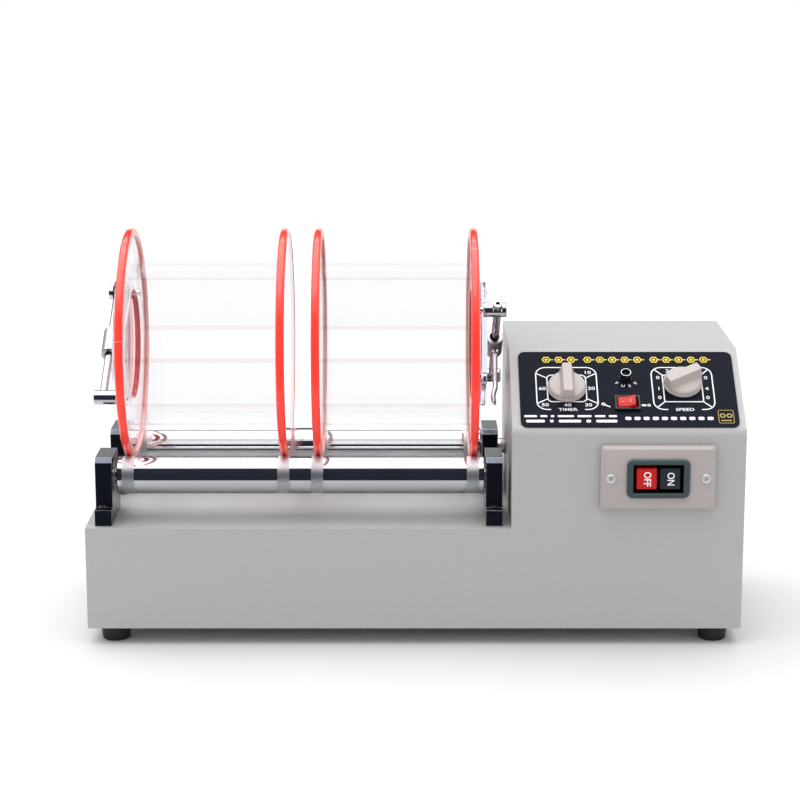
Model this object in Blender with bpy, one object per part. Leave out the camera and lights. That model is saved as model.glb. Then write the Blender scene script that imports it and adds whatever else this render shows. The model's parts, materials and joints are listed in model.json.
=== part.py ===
"""Twin-barrel rotary rock tumbler: two clear six-sided barrels that two chromed rollers turn by friction.

Every length below is in millimetres. The housing's own coordinates are X from its left end, Y from its front
face towards the back and Z up from the table. One empty carries them all, so that the world's origin lies on
the table under the middle of the whole object.
"""

import math

import bmesh
import bpy
from mathutils import Matrix, Vector

MM = 0.001
GAP = 0.3  # clearance left between two pieces that touch

# Sheet-steel housing: a long low deck, and a tall control box at its right end
LENGTH = 567.0
DEPTH = 211.0
HEIGHT = 247.0
SHEET = 1.5
FOOT_HEIGHT = 15.0
FOOT_INSET = 22.0
DECK_Z = 105.0
BOX_X = 367.0
CREASE_Z = 191.0
SLOPE_RUN = 80.0
SLOPE_ANGLE = math.atan2(HEIGHT - CREASE_Z, SLOPE_RUN)
REAR_LIP = 12.0

# Rollers and their blocks
BLOCK_AXIS = 37.7  # the bore, above the block's own foot
ROLLER_RADIUS = 16.3
ROLLER_X = (25.3, 344.4)
ROLLER_Y = {"front": 38.4, "rear": 145.0}
ROLLER_Z = DECK_Z + GAP + BLOCK_AXIS
JOURNAL_RADIUS = 6.7
BLOCK_X = {"left": 7.9, "right": 345.3}
BLOCK_THICKNESS = 14.6
BLOCK_HEIGHT = 57.5
BLOCK_LEDGE = 13.8
BLOCK_SHOULDER = 53.6
BEARING_RADIUS = 13.0
BEARING_WIDTH = 8.0

# Drums: a hexagonal barrel between two round flanges, each flange with a tyre on its edge
TYRE_RADIUS = 102.0
TYRE_WIDTH = 7.3
FLANGE_RADIUS = 97.5
FLANGE_THICKNESS = 5.0
DRUM_LENGTH = 143.0
DRUM_CENTRE_X = {"left": 102.0, "right": 267.5}
DRUM_Y = (ROLLER_Y["front"] + ROLLER_Y["rear"]) / 2
DRUM_Z = ROLLER_Z + math.sqrt((TYRE_RADIUS + ROLLER_RADIUS + GAP) ** 2 - (DRUM_Y - ROLLER_Y["front"]) ** 2)
BARREL_FLATS = 140.0
BARREL_WALL = 4.5
FACE = DRUM_LENGTH / 2  # a flange's outer face, from the middle of the drum
DOOR_RADIUS = 48.0
GASKET_RADIUS = 51.5
GASKET_THICKNESS = 1.9
LID_RADIUS = 55.0
LID_THICKNESS = 5.4

# Lid clamp: a bar across the lid from a pivot post to a slotted latch post, and a cam on it with a lever
DOOR_SIDE = {"left": -1, "right": 1}
BAR_ANGLE = {"left": math.radians(31), "right": math.radians(144)}
POST_REACH = 69.0
POST_RADIUS = 6.15
POST_SPAN = (FACE + 3.5, FACE + 23.5)
STUD_RADIUS = 2.2
BAR_RADIUS = 3.3
BAR_HEIGHT = FACE + 15.8
CAM_RADIUS = 7.4
CAM_OFFSET = 0.5
CAM_GAP = 0.4
CAM_LENGTH = 30.0
LEVER_RADIUS = 2.3
LEVER_LENGTH = 60.0
LEVER_CURL = 14.0
BAR_SET = 4.5  # how far the bar goes into the pivot post, past its middle
CAP_LENGTH = 5.5
CAP_RADIUS = 4.2
CAP_SOCKET = 2.2

# Control panel on the slope: x as the housing's X, y up the slope from its lower crease
PANEL_X = (374.5, 561.5)
PANEL_Y = (4.0, 92.0)
PANEL_THICKNESS = 1.2
PANEL_FRONT = GAP + PANEL_THICKNESS
TIMER_AT = (415.5, 48.4)
SPEED_AT = (516.0, 53.7)
FUSE_AT = (467.0, 60.1)
ROCKER_AT = (467.0, 30.4)
KNOB_RADIUS = 16.8
GRIP_FOOT = (6.8, 16.3, 3.0)  # half width, half length, height
GRIP_TOP = (4.1, 16.1, 14.9)
SPEED_POINTS = math.radians(-61)
SPINDLE_RADIUS = 3.0
BUSHING_RADIUS = 5.0
FUSE_RADIUS = 4.5
FUSE_RIM = (5.9, 1.2)  # radius, height
ROCKER_FRAME = (22.3, 16.4)
ROCKER_BODY = (19.8, 13.8)
ROCKER_OPENING = (17.8, 11.6)
ROCKER_REST_TILT = math.radians(12)

# Main switch on the front of the box
STATION_AT = (491.5, 151.4)
STATION_PLATE = (98.0, 56.0)
STATION_THICKNESS = 8.0
STATION_BEZEL = (54.0, 34.0)
STATION_RIM = 2.7
STATION_BODY = (50.0, 30.0)
STATION_RECESS = (43.0, 25.0)
BUTTON_SIZE = (17.6, 18.7)
BUTTON_OFFSET = 10.0

# Drive inside the box
MOTOR_Y, MOTOR_Z = 66.0, 72.0
MOTOR_RADIUS = 38.0
MOTOR_X = (400.0, 500.0)
PULLEY_X = (376.0, 388.0)
MOTOR_PULLEY_RADIUS = 10.0
ROLLER_PULLEY_RADIUS = 35.0
BELT_THICKNESS = 3.0
BELT_WIDTH = 5.0
INLET_AT = (467.0, 60.0)

# The whole object's box, in the housing's coordinates, sets where the world's origin is
INLET_FLANGE = 2.5
BACK_Y = DEPTH + GAP + INLET_FLANGE
FRONT_Y = -(2 * GAP + STATION_THICKNESS + STATION_RIM)
ORIGIN_X = LENGTH / 2
ORIGIN_Y = (FRONT_Y + BACK_Y) / 2

ROUND = 48  # sides of a large circle
SMALL = 20  # sides of a small circle

FACING = {  # turns a flat outline's own Z, its thickness, to the front or to the right
    "front": Matrix(((1, 0, 0), (0, 0, -1), (0, 1, 0))),
    "right": Matrix(((0, 0, 1), (1, 0, 0), (0, 1, 0))),
}
UPRIGHT = Matrix.Rotation(math.radians(-90), 3, "Y")  # turns a lathed piece's axis from X to Z

COLOURS = {  # base colour, roughness, metallic, alpha
    "grey_paint": ((0.56, 0.57, 0.56), 0.45, 0.0, 1.0),
    "black_rubber": ((0.02, 0.02, 0.02), 0.8, 0.0, 1.0),
    "chrome": ((0.85, 0.85, 0.87), 0.08, 1.0, 1.0),
    "black_anodised": ((0.02, 0.022, 0.03), 0.35, 0.6, 1.0),
    "bearing_steel": ((0.62, 0.62, 0.64), 0.25, 1.0, 1.0),
    "clear_acrylic": ((0.95, 0.96, 0.98), 0.05, 0.0, 0.25),
    "red_silicone": ((0.95, 0.08, 0.05), 0.35, 0.0, 0.8),
    "panel_black": ((0.015, 0.018, 0.028), 0.35, 0.0, 1.0),
    "beige_plastic": ((0.58, 0.54, 0.52), 0.45, 0.0, 1.0),
    "black_plastic": ((0.02, 0.02, 0.022), 0.4, 0.0, 1.0),
    "green_plastic": ((0.06, 0.1, 0.1), 0.45, 0.0, 1.0),
    "red_plastic": ((0.75, 0.03, 0.03), 0.35, 0.0, 1.0),
    "aluminium": ((0.75, 0.75, 0.76), 0.35, 1.0, 1.0),
    "belt_rubber": ((0.03, 0.03, 0.03), 0.7, 0.0, 1.0),
}


# ---- helpers ----


def clear_scene():
    for obj in list(bpy.data.objects):
        bpy.data.objects.remove(obj, do_unlink=True)


def make_material(name):
    colour, roughness, metallic, alpha = COLOURS[name]
    material = bpy.data.materials.new(name)
    material.use_nodes = True
    shader = material.node_tree.nodes["Principled BSDF"]
    shader.inputs["Base Color"].default_value = (*colour, 1.0)
    shader.inputs["Roughness"].default_value = roughness
    shader.inputs["Metallic"].default_value = metallic
    shader.inputs["Alpha"].default_value = alpha
    return material


def place(obj, parent, at=(0, 0, 0), turn=None):
    """Puts an object at a point of its parent, in millimetres, with its axes turned by a matrix."""
    bpy.context.scene.collection.objects.link(obj)
    obj.parent = parent
    obj.location = Vector(at) * MM
    if turn is not None:
        obj.rotation_euler = turn.to_euler()
    return obj


def empty(name, parent=None, at=(0, 0, 0), turn=None):
    return place(bpy.data.objects.new(name, None), parent, at, turn)


def mesh_object(name, mesh_data, material, parent, at, turn):
    bmesh.ops.remove_doubles(mesh_data, verts=mesh_data.verts, dist=1e-7)
    bmesh.ops.recalc_face_normals(mesh_data, faces=mesh_data.faces)
    mesh = bpy.data.meshes.new(name)
    mesh_data.to_mesh(mesh)
    mesh_data.free()
    mesh.materials.append(bpy.data.materials[material])
    mesh.shade_smooth()
    mesh.set_sharp_from_angle(angle=math.radians(35))
    return place(bpy.data.objects.new(name, mesh), parent, at, turn)


def lathe(name, profile, material, parent, at=(0, 0, 0), turn=None, sides=ROUND):
    """A turned solid about the object's own X. The profile's points are (x, radius); it is closed from its
    last point to its first, unless both lie on the axis."""
    turned = bmesh.new()
    points = [turned.verts.new((x * MM, 0, radius * MM)) for x, radius in profile]
    pairs = list(zip(points, points[1:]))
    if profile[0][1] > 0:
        pairs.append((points[-1], points[0]))
    edges = [turned.edges.new(pair) for pair in pairs]
    bmesh.ops.spin(
        turned,
        geom=points + edges,
        cent=(0, 0, 0),
        axis=(1, 0, 0),
        angle=2 * math.pi,
        steps=sides,
        use_merge=True,
    )
    return mesh_object(name, turned, material, parent, at, turn)


def prism(name, outline, depth, material, parent, at=(0, 0, 0), turn=None):
    """An outline in the object's own XY, extruded along its Z from 0 to a depth."""
    solid = bmesh.new()
    face = solid.faces.new([solid.verts.new((x * MM, y * MM, 0)) for x, y in outline])
    extruded = bmesh.ops.extrude_face_region(solid, geom=[face])
    moved = [item for item in extruded["geom"] if isinstance(item, bmesh.types.BMVert)]
    bmesh.ops.translate(solid, verts=moved, vec=(0, 0, depth * MM))
    return mesh_object(name, solid, material, parent, at, turn)


def box(name, low, high, material, parent, at=(0, 0, 0), turn=None):
    outline = [(low[0], low[1]), (high[0], low[1]), (high[0], high[1]), (low[0], high[1])]
    base = (Matrix.Identity(3) if turn is None else turn) @ Vector((0, 0, low[2]))
    at = Vector(at) + base
    return prism(name, outline, high[2] - low[2], material, parent, at, turn)


def plate(name, loops, thickness, material, parent, at=(0, 0, 0), turn=None):
    """A flat piece in the object's own XY, its thickness along Z from 0. Loops inside the first are holes."""
    curve = bpy.data.curves.new(name, "CURVE")
    curve.dimensions = "2D"
    curve.fill_mode = "BOTH"
    curve.extrude = thickness * MM / 2
    for loop in loops:
        spline = curve.splines.new("POLY")
        spline.points.add(len(loop) - 1)
        spline.use_cyclic_u = True
        for point, (x, y) in zip(spline.points, loop):
            point.co = (x * MM, y * MM, 0, 1)
    curve.materials.append(bpy.data.materials[material])
    middle = (Matrix.Identity(3) if turn is None else turn) @ Vector((0, 0, thickness / 2))
    return place(bpy.data.objects.new(name, curve), parent, Vector(at) + middle, turn)


def tube(name, points, radius, material, parent, at=(0, 0, 0), turn=None):
    curve = bpy.data.curves.new(name, "CURVE")
    curve.dimensions = "3D"
    curve.bevel_depth = radius * MM
    curve.bevel_resolution = 2
    curve.use_fill_caps = True
    spline = curve.splines.new("POLY")
    spline.points.add(len(points) - 1)
    for point, place_mm in zip(spline.points, points):
        point.co = (*(Vector(place_mm) * MM), 1)
    curve.materials.append(bpy.data.materials[material])
    return place(bpy.data.objects.new(name, curve), parent, at, turn)


def circle(radius, sides=ROUND, at=(0, 0)):
    steps = [2 * math.pi * i / sides for i in range(sides)]
    return [(at[0] + radius * math.cos(a), at[1] + radius * math.sin(a)) for a in steps]


def rounded(width, height, radius, at=(0, 0), steps=4):
    """A rectangle about a point, its corners rounded by arcs."""
    loop = []
    for corner in range(4):
        across = (1, -1, -1, 1)[corner] * (width / 2 - radius) + at[0]
        along = (1, 1, -1, -1)[corner] * (height / 2 - radius) + at[1]
        for step in range(steps + 1):
            angle = (corner + step / steps) * math.pi / 2
            loop.append((across + radius * math.cos(angle), along + radius * math.sin(angle)))
    return loop


def combine(target, tool, operation):
    """Cuts the target by the tool, or joins the tool to it; the tool itself is only a guide."""
    modifier = target.modifiers.new(tool.name, "BOOLEAN")
    modifier.operation = operation
    modifier.object = tool
    modifier.solver = "EXACT"
    tool.hide_render = True
    tool.display_type = "WIRE"


def cut(target, tool):
    combine(target, tool, "DIFFERENCE")


def join(target, tool):
    combine(target, tool, "UNION")


# ---- housing ----


def housing_form(name, inset, parent):
    """The housing's outer form drawn in by an inset, open downwards when there is one."""
    low = FOOT_HEIGHT - (1 if inset else 0)
    outline = [
        (inset, low),
        (LENGTH - inset, low),
        (LENGTH - inset, HEIGHT - inset),
        (BOX_X + inset, HEIGHT - inset),
        (BOX_X + inset, DECK_Z - inset),
        (inset, DECK_Z - inset),
    ]
    at = (0, DEPTH - inset, 0)
    form = prism(name, outline, DEPTH - 2 * inset, "grey_paint", parent, at, FACING["front"])
    # the wedge above the slope: its lower face is the slope, moved in along its normal by the inset
    normal = Vector((0, -math.sin(SLOPE_ANGLE), math.cos(SLOPE_ANGLE)))
    start = Vector((BOX_X - 20, 0, CREASE_Z)) - normal * inset
    wedge = box(
        name + "_wedge",
        (0, -150, 0),
        (LENGTH - BOX_X + 40, 250, 200),
        "grey_paint",
        parent,
        start,
        Matrix.Rotation(SLOPE_ANGLE, 3, "X"),
    )
    cut(form, wedge)
    return form


def opening(size, at=(0, 0)):
    """A square-cornered opening for a body of a size, with a gap all round."""
    return rounded(size[0] + 2 * GAP, size[1] + 2 * GAP, 0.4, at, 1)


def panel_holes():
    """The openings through the slope and the panel's plate, for the two bushings, the fuse and the rocker."""
    holes = [circle(BUSHING_RADIUS + GAP, SMALL, at) for at in (TIMER_AT, SPEED_AT)]
    holes.append(circle(FUSE_RADIUS + GAP, SMALL, FUSE_AT))
    holes.append(opening(ROCKER_BODY, ROCKER_AT))
    return holes


def make_housing(origin, panel):
    housing = housing_form("base_housing", 0, origin)
    cut(housing, housing_form("housing_hollow", SHEET, origin))
    low = (BOX_X + REAR_LIP, DEPTH - 3, FOOT_HEIGHT + REAR_LIP)
    high = (LENGTH - REAR_LIP, DEPTH + 3, HEIGHT - REAR_LIP)
    cut(housing, box("rear_opening", low, high, "grey_paint", origin))
    shaft_hole = [(BOX_X - 3, 0), (BOX_X - 3, 9), (BOX_X + 6, 9), (BOX_X + 6, 0)]
    at = (0, ROLLER_Y["rear"], ROLLER_Z)
    cut(housing, lathe("shaft_hole", shaft_hole, "grey_paint", origin, at, sides=SMALL))
    for number, hole in enumerate(panel_holes()):
        cut(housing, prism(f"panel_hole_{number}", hole, 8, "grey_paint", panel, (0, 0, -5)))
    hole = opening(STATION_BODY, STATION_AT)
    cut(housing, prism("station_hole", hole, 8, "grey_paint", origin, (0, 5, 0), FACING["front"]))


def make_rear_cover(origin):
    """A plate inside the rear opening's lip, with rows of slots for air, and the mains inlet's cut-out."""
    width = LENGTH - BOX_X - 2 * SHEET - 4
    height = HEIGHT - FOOT_HEIGHT - SHEET - 6
    middle = ((LENGTH + BOX_X) / 2, (HEIGHT + FOOT_HEIGHT) / 2)
    loops = [rounded(width, height, 1, middle, 1)]
    for column in (-1, 1):
        for row in range(6):
            loops.append(rounded(60, 3.6, 1.7, (middle[0] + column * 38, 150 + row * 11), 1))
    loops.append(rounded(29, 22, 0.4, INLET_AT, 1))
    at = (0, DEPTH - SHEET - GAP, 0)
    plate("rear_cover", loops, 1.2, "grey_paint", origin, at, FACING["front"])


def make_base(origin):
    low = (SHEET + GAP, SHEET + GAP, FOOT_HEIGHT)
    high = (LENGTH - SHEET - GAP, DEPTH - SHEET - GAP, FOOT_HEIGHT + SHEET)
    box("bottom_plate", low, high, "grey_paint", origin)
    profile = [(0, 0), (0, 11), (1.5, 12), (FOOT_HEIGHT - GAP, 13.5), (FOOT_HEIGHT - GAP, 0)]
    for depth_name, y in (("front", FOOT_INSET), ("rear", DEPTH - FOOT_INSET)):
        for side, x in (("left", FOOT_INSET), ("right", LENGTH - FOOT_INSET)):
            lathe(f"foot_{depth_name}_{side}", profile, "black_rubber", origin, (x, y, 0), UPRIGHT, 24)


# ---- rollers ----


def ring_on_axis(x, width, inner, outer, edge=0.0):
    """A ring's profile from x along the axis, its outer corners cut back by an edge."""
    end = x + width
    rim = [(x, outer), (end, outer)]
    if edge:
        rim = [(x, outer - edge), (x + edge, outer), (end - edge, outer), (end, outer - edge)]
    return [(x, inner)] + rim + [(end, inner)]


def make_block(origin, depth_name, side):
    """A pillow block: a foot with a ledge each side, a body with chamfered shoulders, and a bearing seat."""
    right_half = [
        (31.5, 0),
        (31.5, BLOCK_LEDGE),
        (21.9, BLOCK_LEDGE),
        (21.9, BLOCK_SHOULDER),
        (18.0, BLOCK_HEIGHT),
    ]
    outline = right_half + [(-y, z) for y, z in reversed(right_half)]
    at = (BLOCK_X[side], ROLLER_Y[depth_name], DECK_Z + GAP)
    name = f"bearing_block_{depth_name}_{side}"
    facing = FACING["right"]
    block = prism(name, outline, BLOCK_THICKNESS, "black_anodised", origin, at, facing)
    seat_depth = BEARING_WIDTH + GAP
    seat_start = BLOCK_THICKNESS - seat_depth if side == "left" else -5
    for what, radius, start, depth in (
        ("bore", JOURNAL_RADIUS + 2 * GAP, -5, BLOCK_THICKNESS + 10),
        ("seat", BEARING_RADIUS + GAP, seat_start, seat_depth + 5),
    ):
        hole = circle(radius, 24, (0, BLOCK_AXIS))
        hole_at = (at[0] + start, at[1], at[2])
        cut(block, prism(f"{name}_{what}", hole, depth, "black_anodised", origin, hole_at, facing))
    x = BLOCK_X[side] + (BLOCK_THICKNESS - BEARING_WIDTH if side == "left" else 0)
    ring = ring_on_axis(0, BEARING_WIDTH, JOURNAL_RADIUS + GAP, BEARING_RADIUS)
    at = (x, ROLLER_Y[depth_name], ROLLER_Z)
    lathe(f"ball_bearing_{depth_name}_{side}", ring, "bearing_steel", origin, at, sides=24)


def make_roller(origin, depth_name, shaft_end):
    start, end = ROLLER_X
    stub = BLOCK_X["left"] + 1.0
    shoulder = 0.8
    profile = [
        (stub - start, 0),
        (stub - start, JOURNAL_RADIUS),
        (0, JOURNAL_RADIUS),
        (0, ROLLER_RADIUS - shoulder),
        (shoulder, ROLLER_RADIUS),
        (end - start - shoulder, ROLLER_RADIUS),
        (end - start, ROLLER_RADIUS - shoulder),
        (end - start, JOURNAL_RADIUS),
        (shaft_end - start, JOURNAL_RADIUS),
        (shaft_end - start, 0),
    ]
    at = (start, ROLLER_Y[depth_name], ROLLER_Z)
    lathe(f"{depth_name}_roller", profile, "chrome", origin, at, sides=28)


# ---- drums ----


def make_drum(origin, side):
    door = DOOR_SIDE[side]
    drum = empty(f"{side}_drum_axis", origin, (DRUM_CENTRE_X[side], DRUM_Y, DRUM_Z))
    angle = BAR_ANGLE[side]
    posts = [(sign * POST_REACH * math.cos(angle), sign * POST_REACH * math.sin(angle)) for sign in (-1, 1)]

    corner = BARREL_FLATS / 2 / math.cos(math.pi / 6)
    inner_corner = (BARREL_FLATS / 2 - BARREL_WALL) / math.cos(math.pi / 6)
    length = DRUM_LENGTH - 2 * (GAP + FLANGE_THICKNESS + GAP)
    hexagon = [circle(corner, 6), circle(inner_corner, 6)]
    plate(f"{side}_barrel", hexagon, length, "clear_acrylic", drum, (-length / 2, 0, 0), FACING["right"])

    inner_face = FACE - GAP - FLANGE_THICKNESS
    for kind, way in (("door", door), ("plain", -door)):
        loops = [circle(FLANGE_RADIUS)]
        if kind == "door":
            loops += [circle(DOOR_RADIUS, 36)] + [circle(STUD_RADIUS + 2 * GAP, 10, post) for post in posts]
        x = inner_face if way > 0 else -inner_face - FLANGE_THICKNESS
        name = f"{side}_{kind}_flange"
        plate(name, loops, FLANGE_THICKNESS, "clear_acrylic", drum, (x, 0, 0), FACING["right"])
        x = FACE - TYRE_WIDTH if way > 0 else -FACE
        tyre = ring_on_axis(x, TYRE_WIDTH, FLANGE_RADIUS + GAP, TYRE_RADIUS, 1.0)
        lathe(f"{side}_{kind}_tyre", tyre, "red_silicone", drum)

    for name, start, thick, radius, material in (
        ("lid_gasket", FACE, GASKET_THICKNESS, GASKET_RADIUS, "red_silicone"),
        ("lid", FACE + GASKET_THICKNESS + GAP, LID_THICKNESS, LID_RADIUS, "clear_acrylic"),
    ):
        ends = sorted((door * start, door * (start + thick)))
        disc = [(ends[0], 0), (ends[0], radius), (ends[1], radius), (ends[1], 0)]
        lathe(f"{side}_{name}", disc, material, drum)
    make_clamp(drum, side, posts)


def post_profile():
    """A post from its stud's end, inside the flange, to its chamfered top, measured from the bar's axis."""
    foot, top = POST_SPAN[0] - BAR_HEIGHT, POST_SPAN[1] - BAR_HEIGHT
    stud = FACE - FLANGE_THICKNESS + GAP - BAR_HEIGHT
    edge = 0.8
    return [
        (stud, 0),
        (stud, STUD_RADIUS),
        (foot, STUD_RADIUS),
        (foot, POST_RADIUS - edge),
        (foot + edge, POST_RADIUS),
        (top - edge, POST_RADIUS),
        (top, POST_RADIUS - edge),
        (top, 0),
    ]


def make_clamp(drum, side, posts):
    """The clamp's frame has x along the bar, from the pivot post to the latch post, and z out of the lid."""
    door = DOOR_SIDE[side]
    angle = BAR_ANGLE[side]
    along = Vector((0, math.cos(angle), math.sin(angle)))
    outward = Vector((door, 0, 0))
    turn = Matrix((along, outward.cross(along), outward)).transposed()
    pivot = empty(f"{side}_clamp_pivot", drum, (door * BAR_HEIGHT, *posts[0]), turn)
    latch = empty(f"{side}_latch_place", drum, (door * BAR_HEIGHT, *posts[1]), turn)
    cam_axis = empty(f"{side}_cam_axis", pivot, (POST_REACH, 0, 0))

    pivot_post = lathe(f"{side}_pivot_post", post_profile(), "chrome", pivot, turn=UPRIGHT, sides=24)
    blind = -BAR_SET - GAP
    hole = [(blind, 0), (blind, BAR_RADIUS + GAP), (10, BAR_RADIUS + GAP), (10, 0)]
    cut(pivot_post, lathe(f"{side}_bar_hole", hole, "chrome", pivot, sides=SMALL))

    latch_post = lathe(f"{side}_latch_post", post_profile(), "chrome", latch, turn=UPRIGHT, sides=24)
    half = BAR_RADIUS + 2 * GAP
    slot_box = ((-10, -10, -half), (10, half, half))
    cut(latch_post, box(f"{side}_latch_slot", *slot_box, "chrome", latch))

    # the bar ends in a socket cap screw's head beyond the latch post
    head = 2 * POST_REACH + POST_RADIUS + GAP
    tip = head + CAP_LENGTH
    bar = [
        (-BAR_SET, 0),
        (-BAR_SET, BAR_RADIUS),
        (head, BAR_RADIUS),
        (head, CAP_RADIUS),
        (tip, CAP_RADIUS),
        (tip, CAP_SOCKET),
        (tip - CAP_LENGTH / 2, CAP_SOCKET),
        (tip - CAP_LENGTH / 2, 0),
    ]
    lathe(f"{side}_clamp_bar", bar, "chrome", pivot, sides=SMALL)

    cam_loops = [circle(CAM_RADIUS, 28, (0, -CAM_OFFSET)), circle(BAR_RADIUS + CAM_GAP, SMALL)]
    at = (-CAM_LENGTH / 2, 0, 0)
    plate(f"{side}_clamp_cam", cam_loops, CAM_LENGTH, "bearing_steel", cam_axis, at, FACING["right"])

    # a straight rod from the cam's side, its last stretch bent in a shallow wave
    straight = LEVER_LENGTH - LEVER_CURL
    route = [(CAM_RADIUS + GAP, 0), (straight, 0)]
    for step in (0.25, 0.5, 0.75, 1.0):
        route.append((straight + LEVER_CURL * step, -2.2 * math.sin(math.pi * step)))
    points = [(0, y, z) for y, z in route]
    tube(f"{side}_cam_lever", points, LEVER_RADIUS, "chrome", cam_axis)


# ---- control panel ----


def make_panel(panel):
    middle = (sum(PANEL_X) / 2, sum(PANEL_Y) / 2)
    edge = rounded(PANEL_X[1] - PANEL_X[0], PANEL_Y[1] - PANEL_Y[0], 6, middle)
    plate("panel_plate", [edge] + panel_holes(), PANEL_THICKNESS, "panel_black", panel, (0, 0, GAP))


def make_knob(panel, name, at, points):
    """A disc with a tall tapered grip across it, on a spindle that goes down into its bushing."""
    turned = Matrix.Rotation(points, 3, "Z")
    axis = empty(name + "_axis", panel, (*at, PANEL_FRONT + 2 * GAP), turned)
    disc = [(-6, 0), (-6, SPINDLE_RADIUS), (0, SPINDLE_RADIUS), (0, KNOB_RADIUS)]
    disc += [(4, KNOB_RADIUS), (7, 14.5), (8, 0)]
    knob = lathe(name, disc, "beige_plastic", axis, turn=UPRIGHT, sides=28)
    grip = bmesh.new()
    bmesh.ops.create_cube(grip, size=1)
    for vert in grip.verts:
        half_width, half_length, z = GRIP_TOP if vert.co.z > 0 else GRIP_FOOT
        vert.co.x = math.copysign(half_width, vert.co.x) * MM
        vert.co.y = math.copysign(half_length, vert.co.y) * MM
        vert.co.z = z * MM
    join(knob, mesh_object(name + "_grip", grip, "beige_plastic", axis, (0, 0, 0), None))


def make_rotary_unit(panel, name, at, size, depth):
    """A timer or switch body behind the panel, on a hollow bushing that comes up through it."""
    back = -SHEET - GAP
    at = (*at, 0)
    half = size / 2
    body = box(name, (-half, -half, back - depth), (half, half, back), "black_plastic", panel, at)
    bushing = [(back - 2, 0), (back - 2, BUSHING_RADIUS), (PANEL_FRONT, BUSHING_RADIUS), (PANEL_FRONT, 0)]
    join(body, lathe(name + "_bushing", bushing, "black_plastic", panel, at, UPRIGHT, SMALL))
    bore = [(-10, 0), (-10, SPINDLE_RADIUS + GAP), (8, SPINDLE_RADIUS + GAP), (8, 0)]
    cut(body, lathe(name + "_bore", bore, "black_plastic", panel, at, UPRIGHT, SMALL))


def make_fuse(panel):
    under = PANEL_FRONT + GAP
    rim, height = FUSE_RIM
    over = under + height
    holder = [(-24, 0), (-24, FUSE_RADIUS), (under, FUSE_RADIUS), (under, rim), (over, rim), (over, 0)]
    lathe("fuse_holder", holder, "black_plastic", panel, (*FUSE_AT, 0), UPRIGHT, 24)
    cap = [(0, 0), (0, 4.9), (0.8, 5.0), (5.4, 4.6), (6.2, 4.2), (6.2, 0)]
    lathe("fuse_cap", cap, "black_plastic", panel, (*FUSE_AT, over + GAP), UPRIGHT, 24)


def make_rocker(panel):
    """A rocker switch: a frame with a hollow body below the panel, and a button that tips left and right."""
    rim = PANEL_FRONT + GAP
    at = (*ROCKER_AT, 0)
    low = (-ROCKER_FRAME[0] / 2, -ROCKER_FRAME[1] / 2, rim)
    high = (ROCKER_FRAME[0] / 2, ROCKER_FRAME[1] / 2, rim + 2.2)
    frame = box("rocker_frame", low, high, "black_plastic", panel, at)
    low = (-ROCKER_BODY[0] / 2, -ROCKER_BODY[1] / 2, -16)
    high = (ROCKER_BODY[0] / 2, ROCKER_BODY[1] / 2, rim + 1)
    join(frame, box("rocker_body", low, high, "black_plastic", panel, at))
    low = (-ROCKER_OPENING[0] / 2, -ROCKER_OPENING[1] / 2, -8)
    high = (ROCKER_OPENING[0] / 2, ROCKER_OPENING[1] / 2, rim + 4)
    cut(frame, box("rocker_opening", low, high, "black_plastic", panel, at))
    # the button's outline is seen from below the panel's lower edge, about its pivot
    tilt = Matrix.Rotation(-ROCKER_REST_TILT, 3, "Y")
    axis = empty("rocker_axis", panel, (*ROCKER_AT, rim), tilt)
    outline = [(-7.6, -3.2), (0, -4.8), (7.6, -3.2), (7.7, 4.4), (0, 2.9), (-7.7, 4.4)]
    depth = ROCKER_OPENING[1] - 2 * GAP
    prism("rocker_button", outline, depth, "red_plastic", axis, (0, depth / 2, 0), FACING["front"])


# ---- main switch on the front ----


def make_station(origin):
    facing = FACING["front"]
    x, z = STATION_AT
    loops = [rounded(*STATION_PLATE, 2), opening(STATION_BODY)]
    plate("switch_plate", loops, STATION_THICKNESS, "beige_plastic", origin, (x, -GAP, z), facing)
    front = -2 * GAP - STATION_THICKNESS
    at = (x, front, z)
    edge = rounded(*STATION_BEZEL, 6)
    bezel = prism("switch_bezel", edge, STATION_RIM, "green_plastic", origin, at, facing)
    across, up = STATION_BODY[0] / 2, STATION_BODY[1] / 2
    body = ((-across, -up, -34), (across, up, 1))
    join(bezel, box("switch_body", *body, "green_plastic", origin, at, facing))
    across, up = STATION_RECESS[0] / 2, STATION_RECESS[1] / 2
    recess = ((-across, -up, -24), (across, up, 5))
    cut(bezel, box("switch_recess", *recess, "green_plastic", origin, at, facing))
    for name, sign, material in (("off_button", -1, "red_plastic"), ("on_button", 1, "black_plastic")):
        width, height = BUTTON_SIZE
        at = (x + sign * BUTTON_OFFSET, front, z)
        box(name, (-width / 2, -height / 2, -15), (width / 2, height / 2, 1.2), material, origin, at, facing)


# ---- drive ----


def belt_loop(centres, radii, sides=24):
    """The outline of a belt round two pulleys: an arc on each, joined by the two tangents."""
    (y0, z0), (y1, z1) = centres
    heading = math.atan2(z1 - z0, y1 - y0)
    spread = math.acos((radii[0] - radii[1]) / math.hypot(y1 - y0, z1 - z0))
    loop = []
    for (y, z), radius, start, sweep in (
        ((y0, z0), radii[0], heading + spread, 2 * (math.pi - spread)),
        ((y1, z1), radii[1], heading - spread, 2 * spread),
    ):
        for step in range(sides // 2 + 1):
            angle = start + sweep * step * 2 / sides
            loop.append((y + radius * math.cos(angle), z + radius * math.sin(angle)))
    return loop


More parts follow.
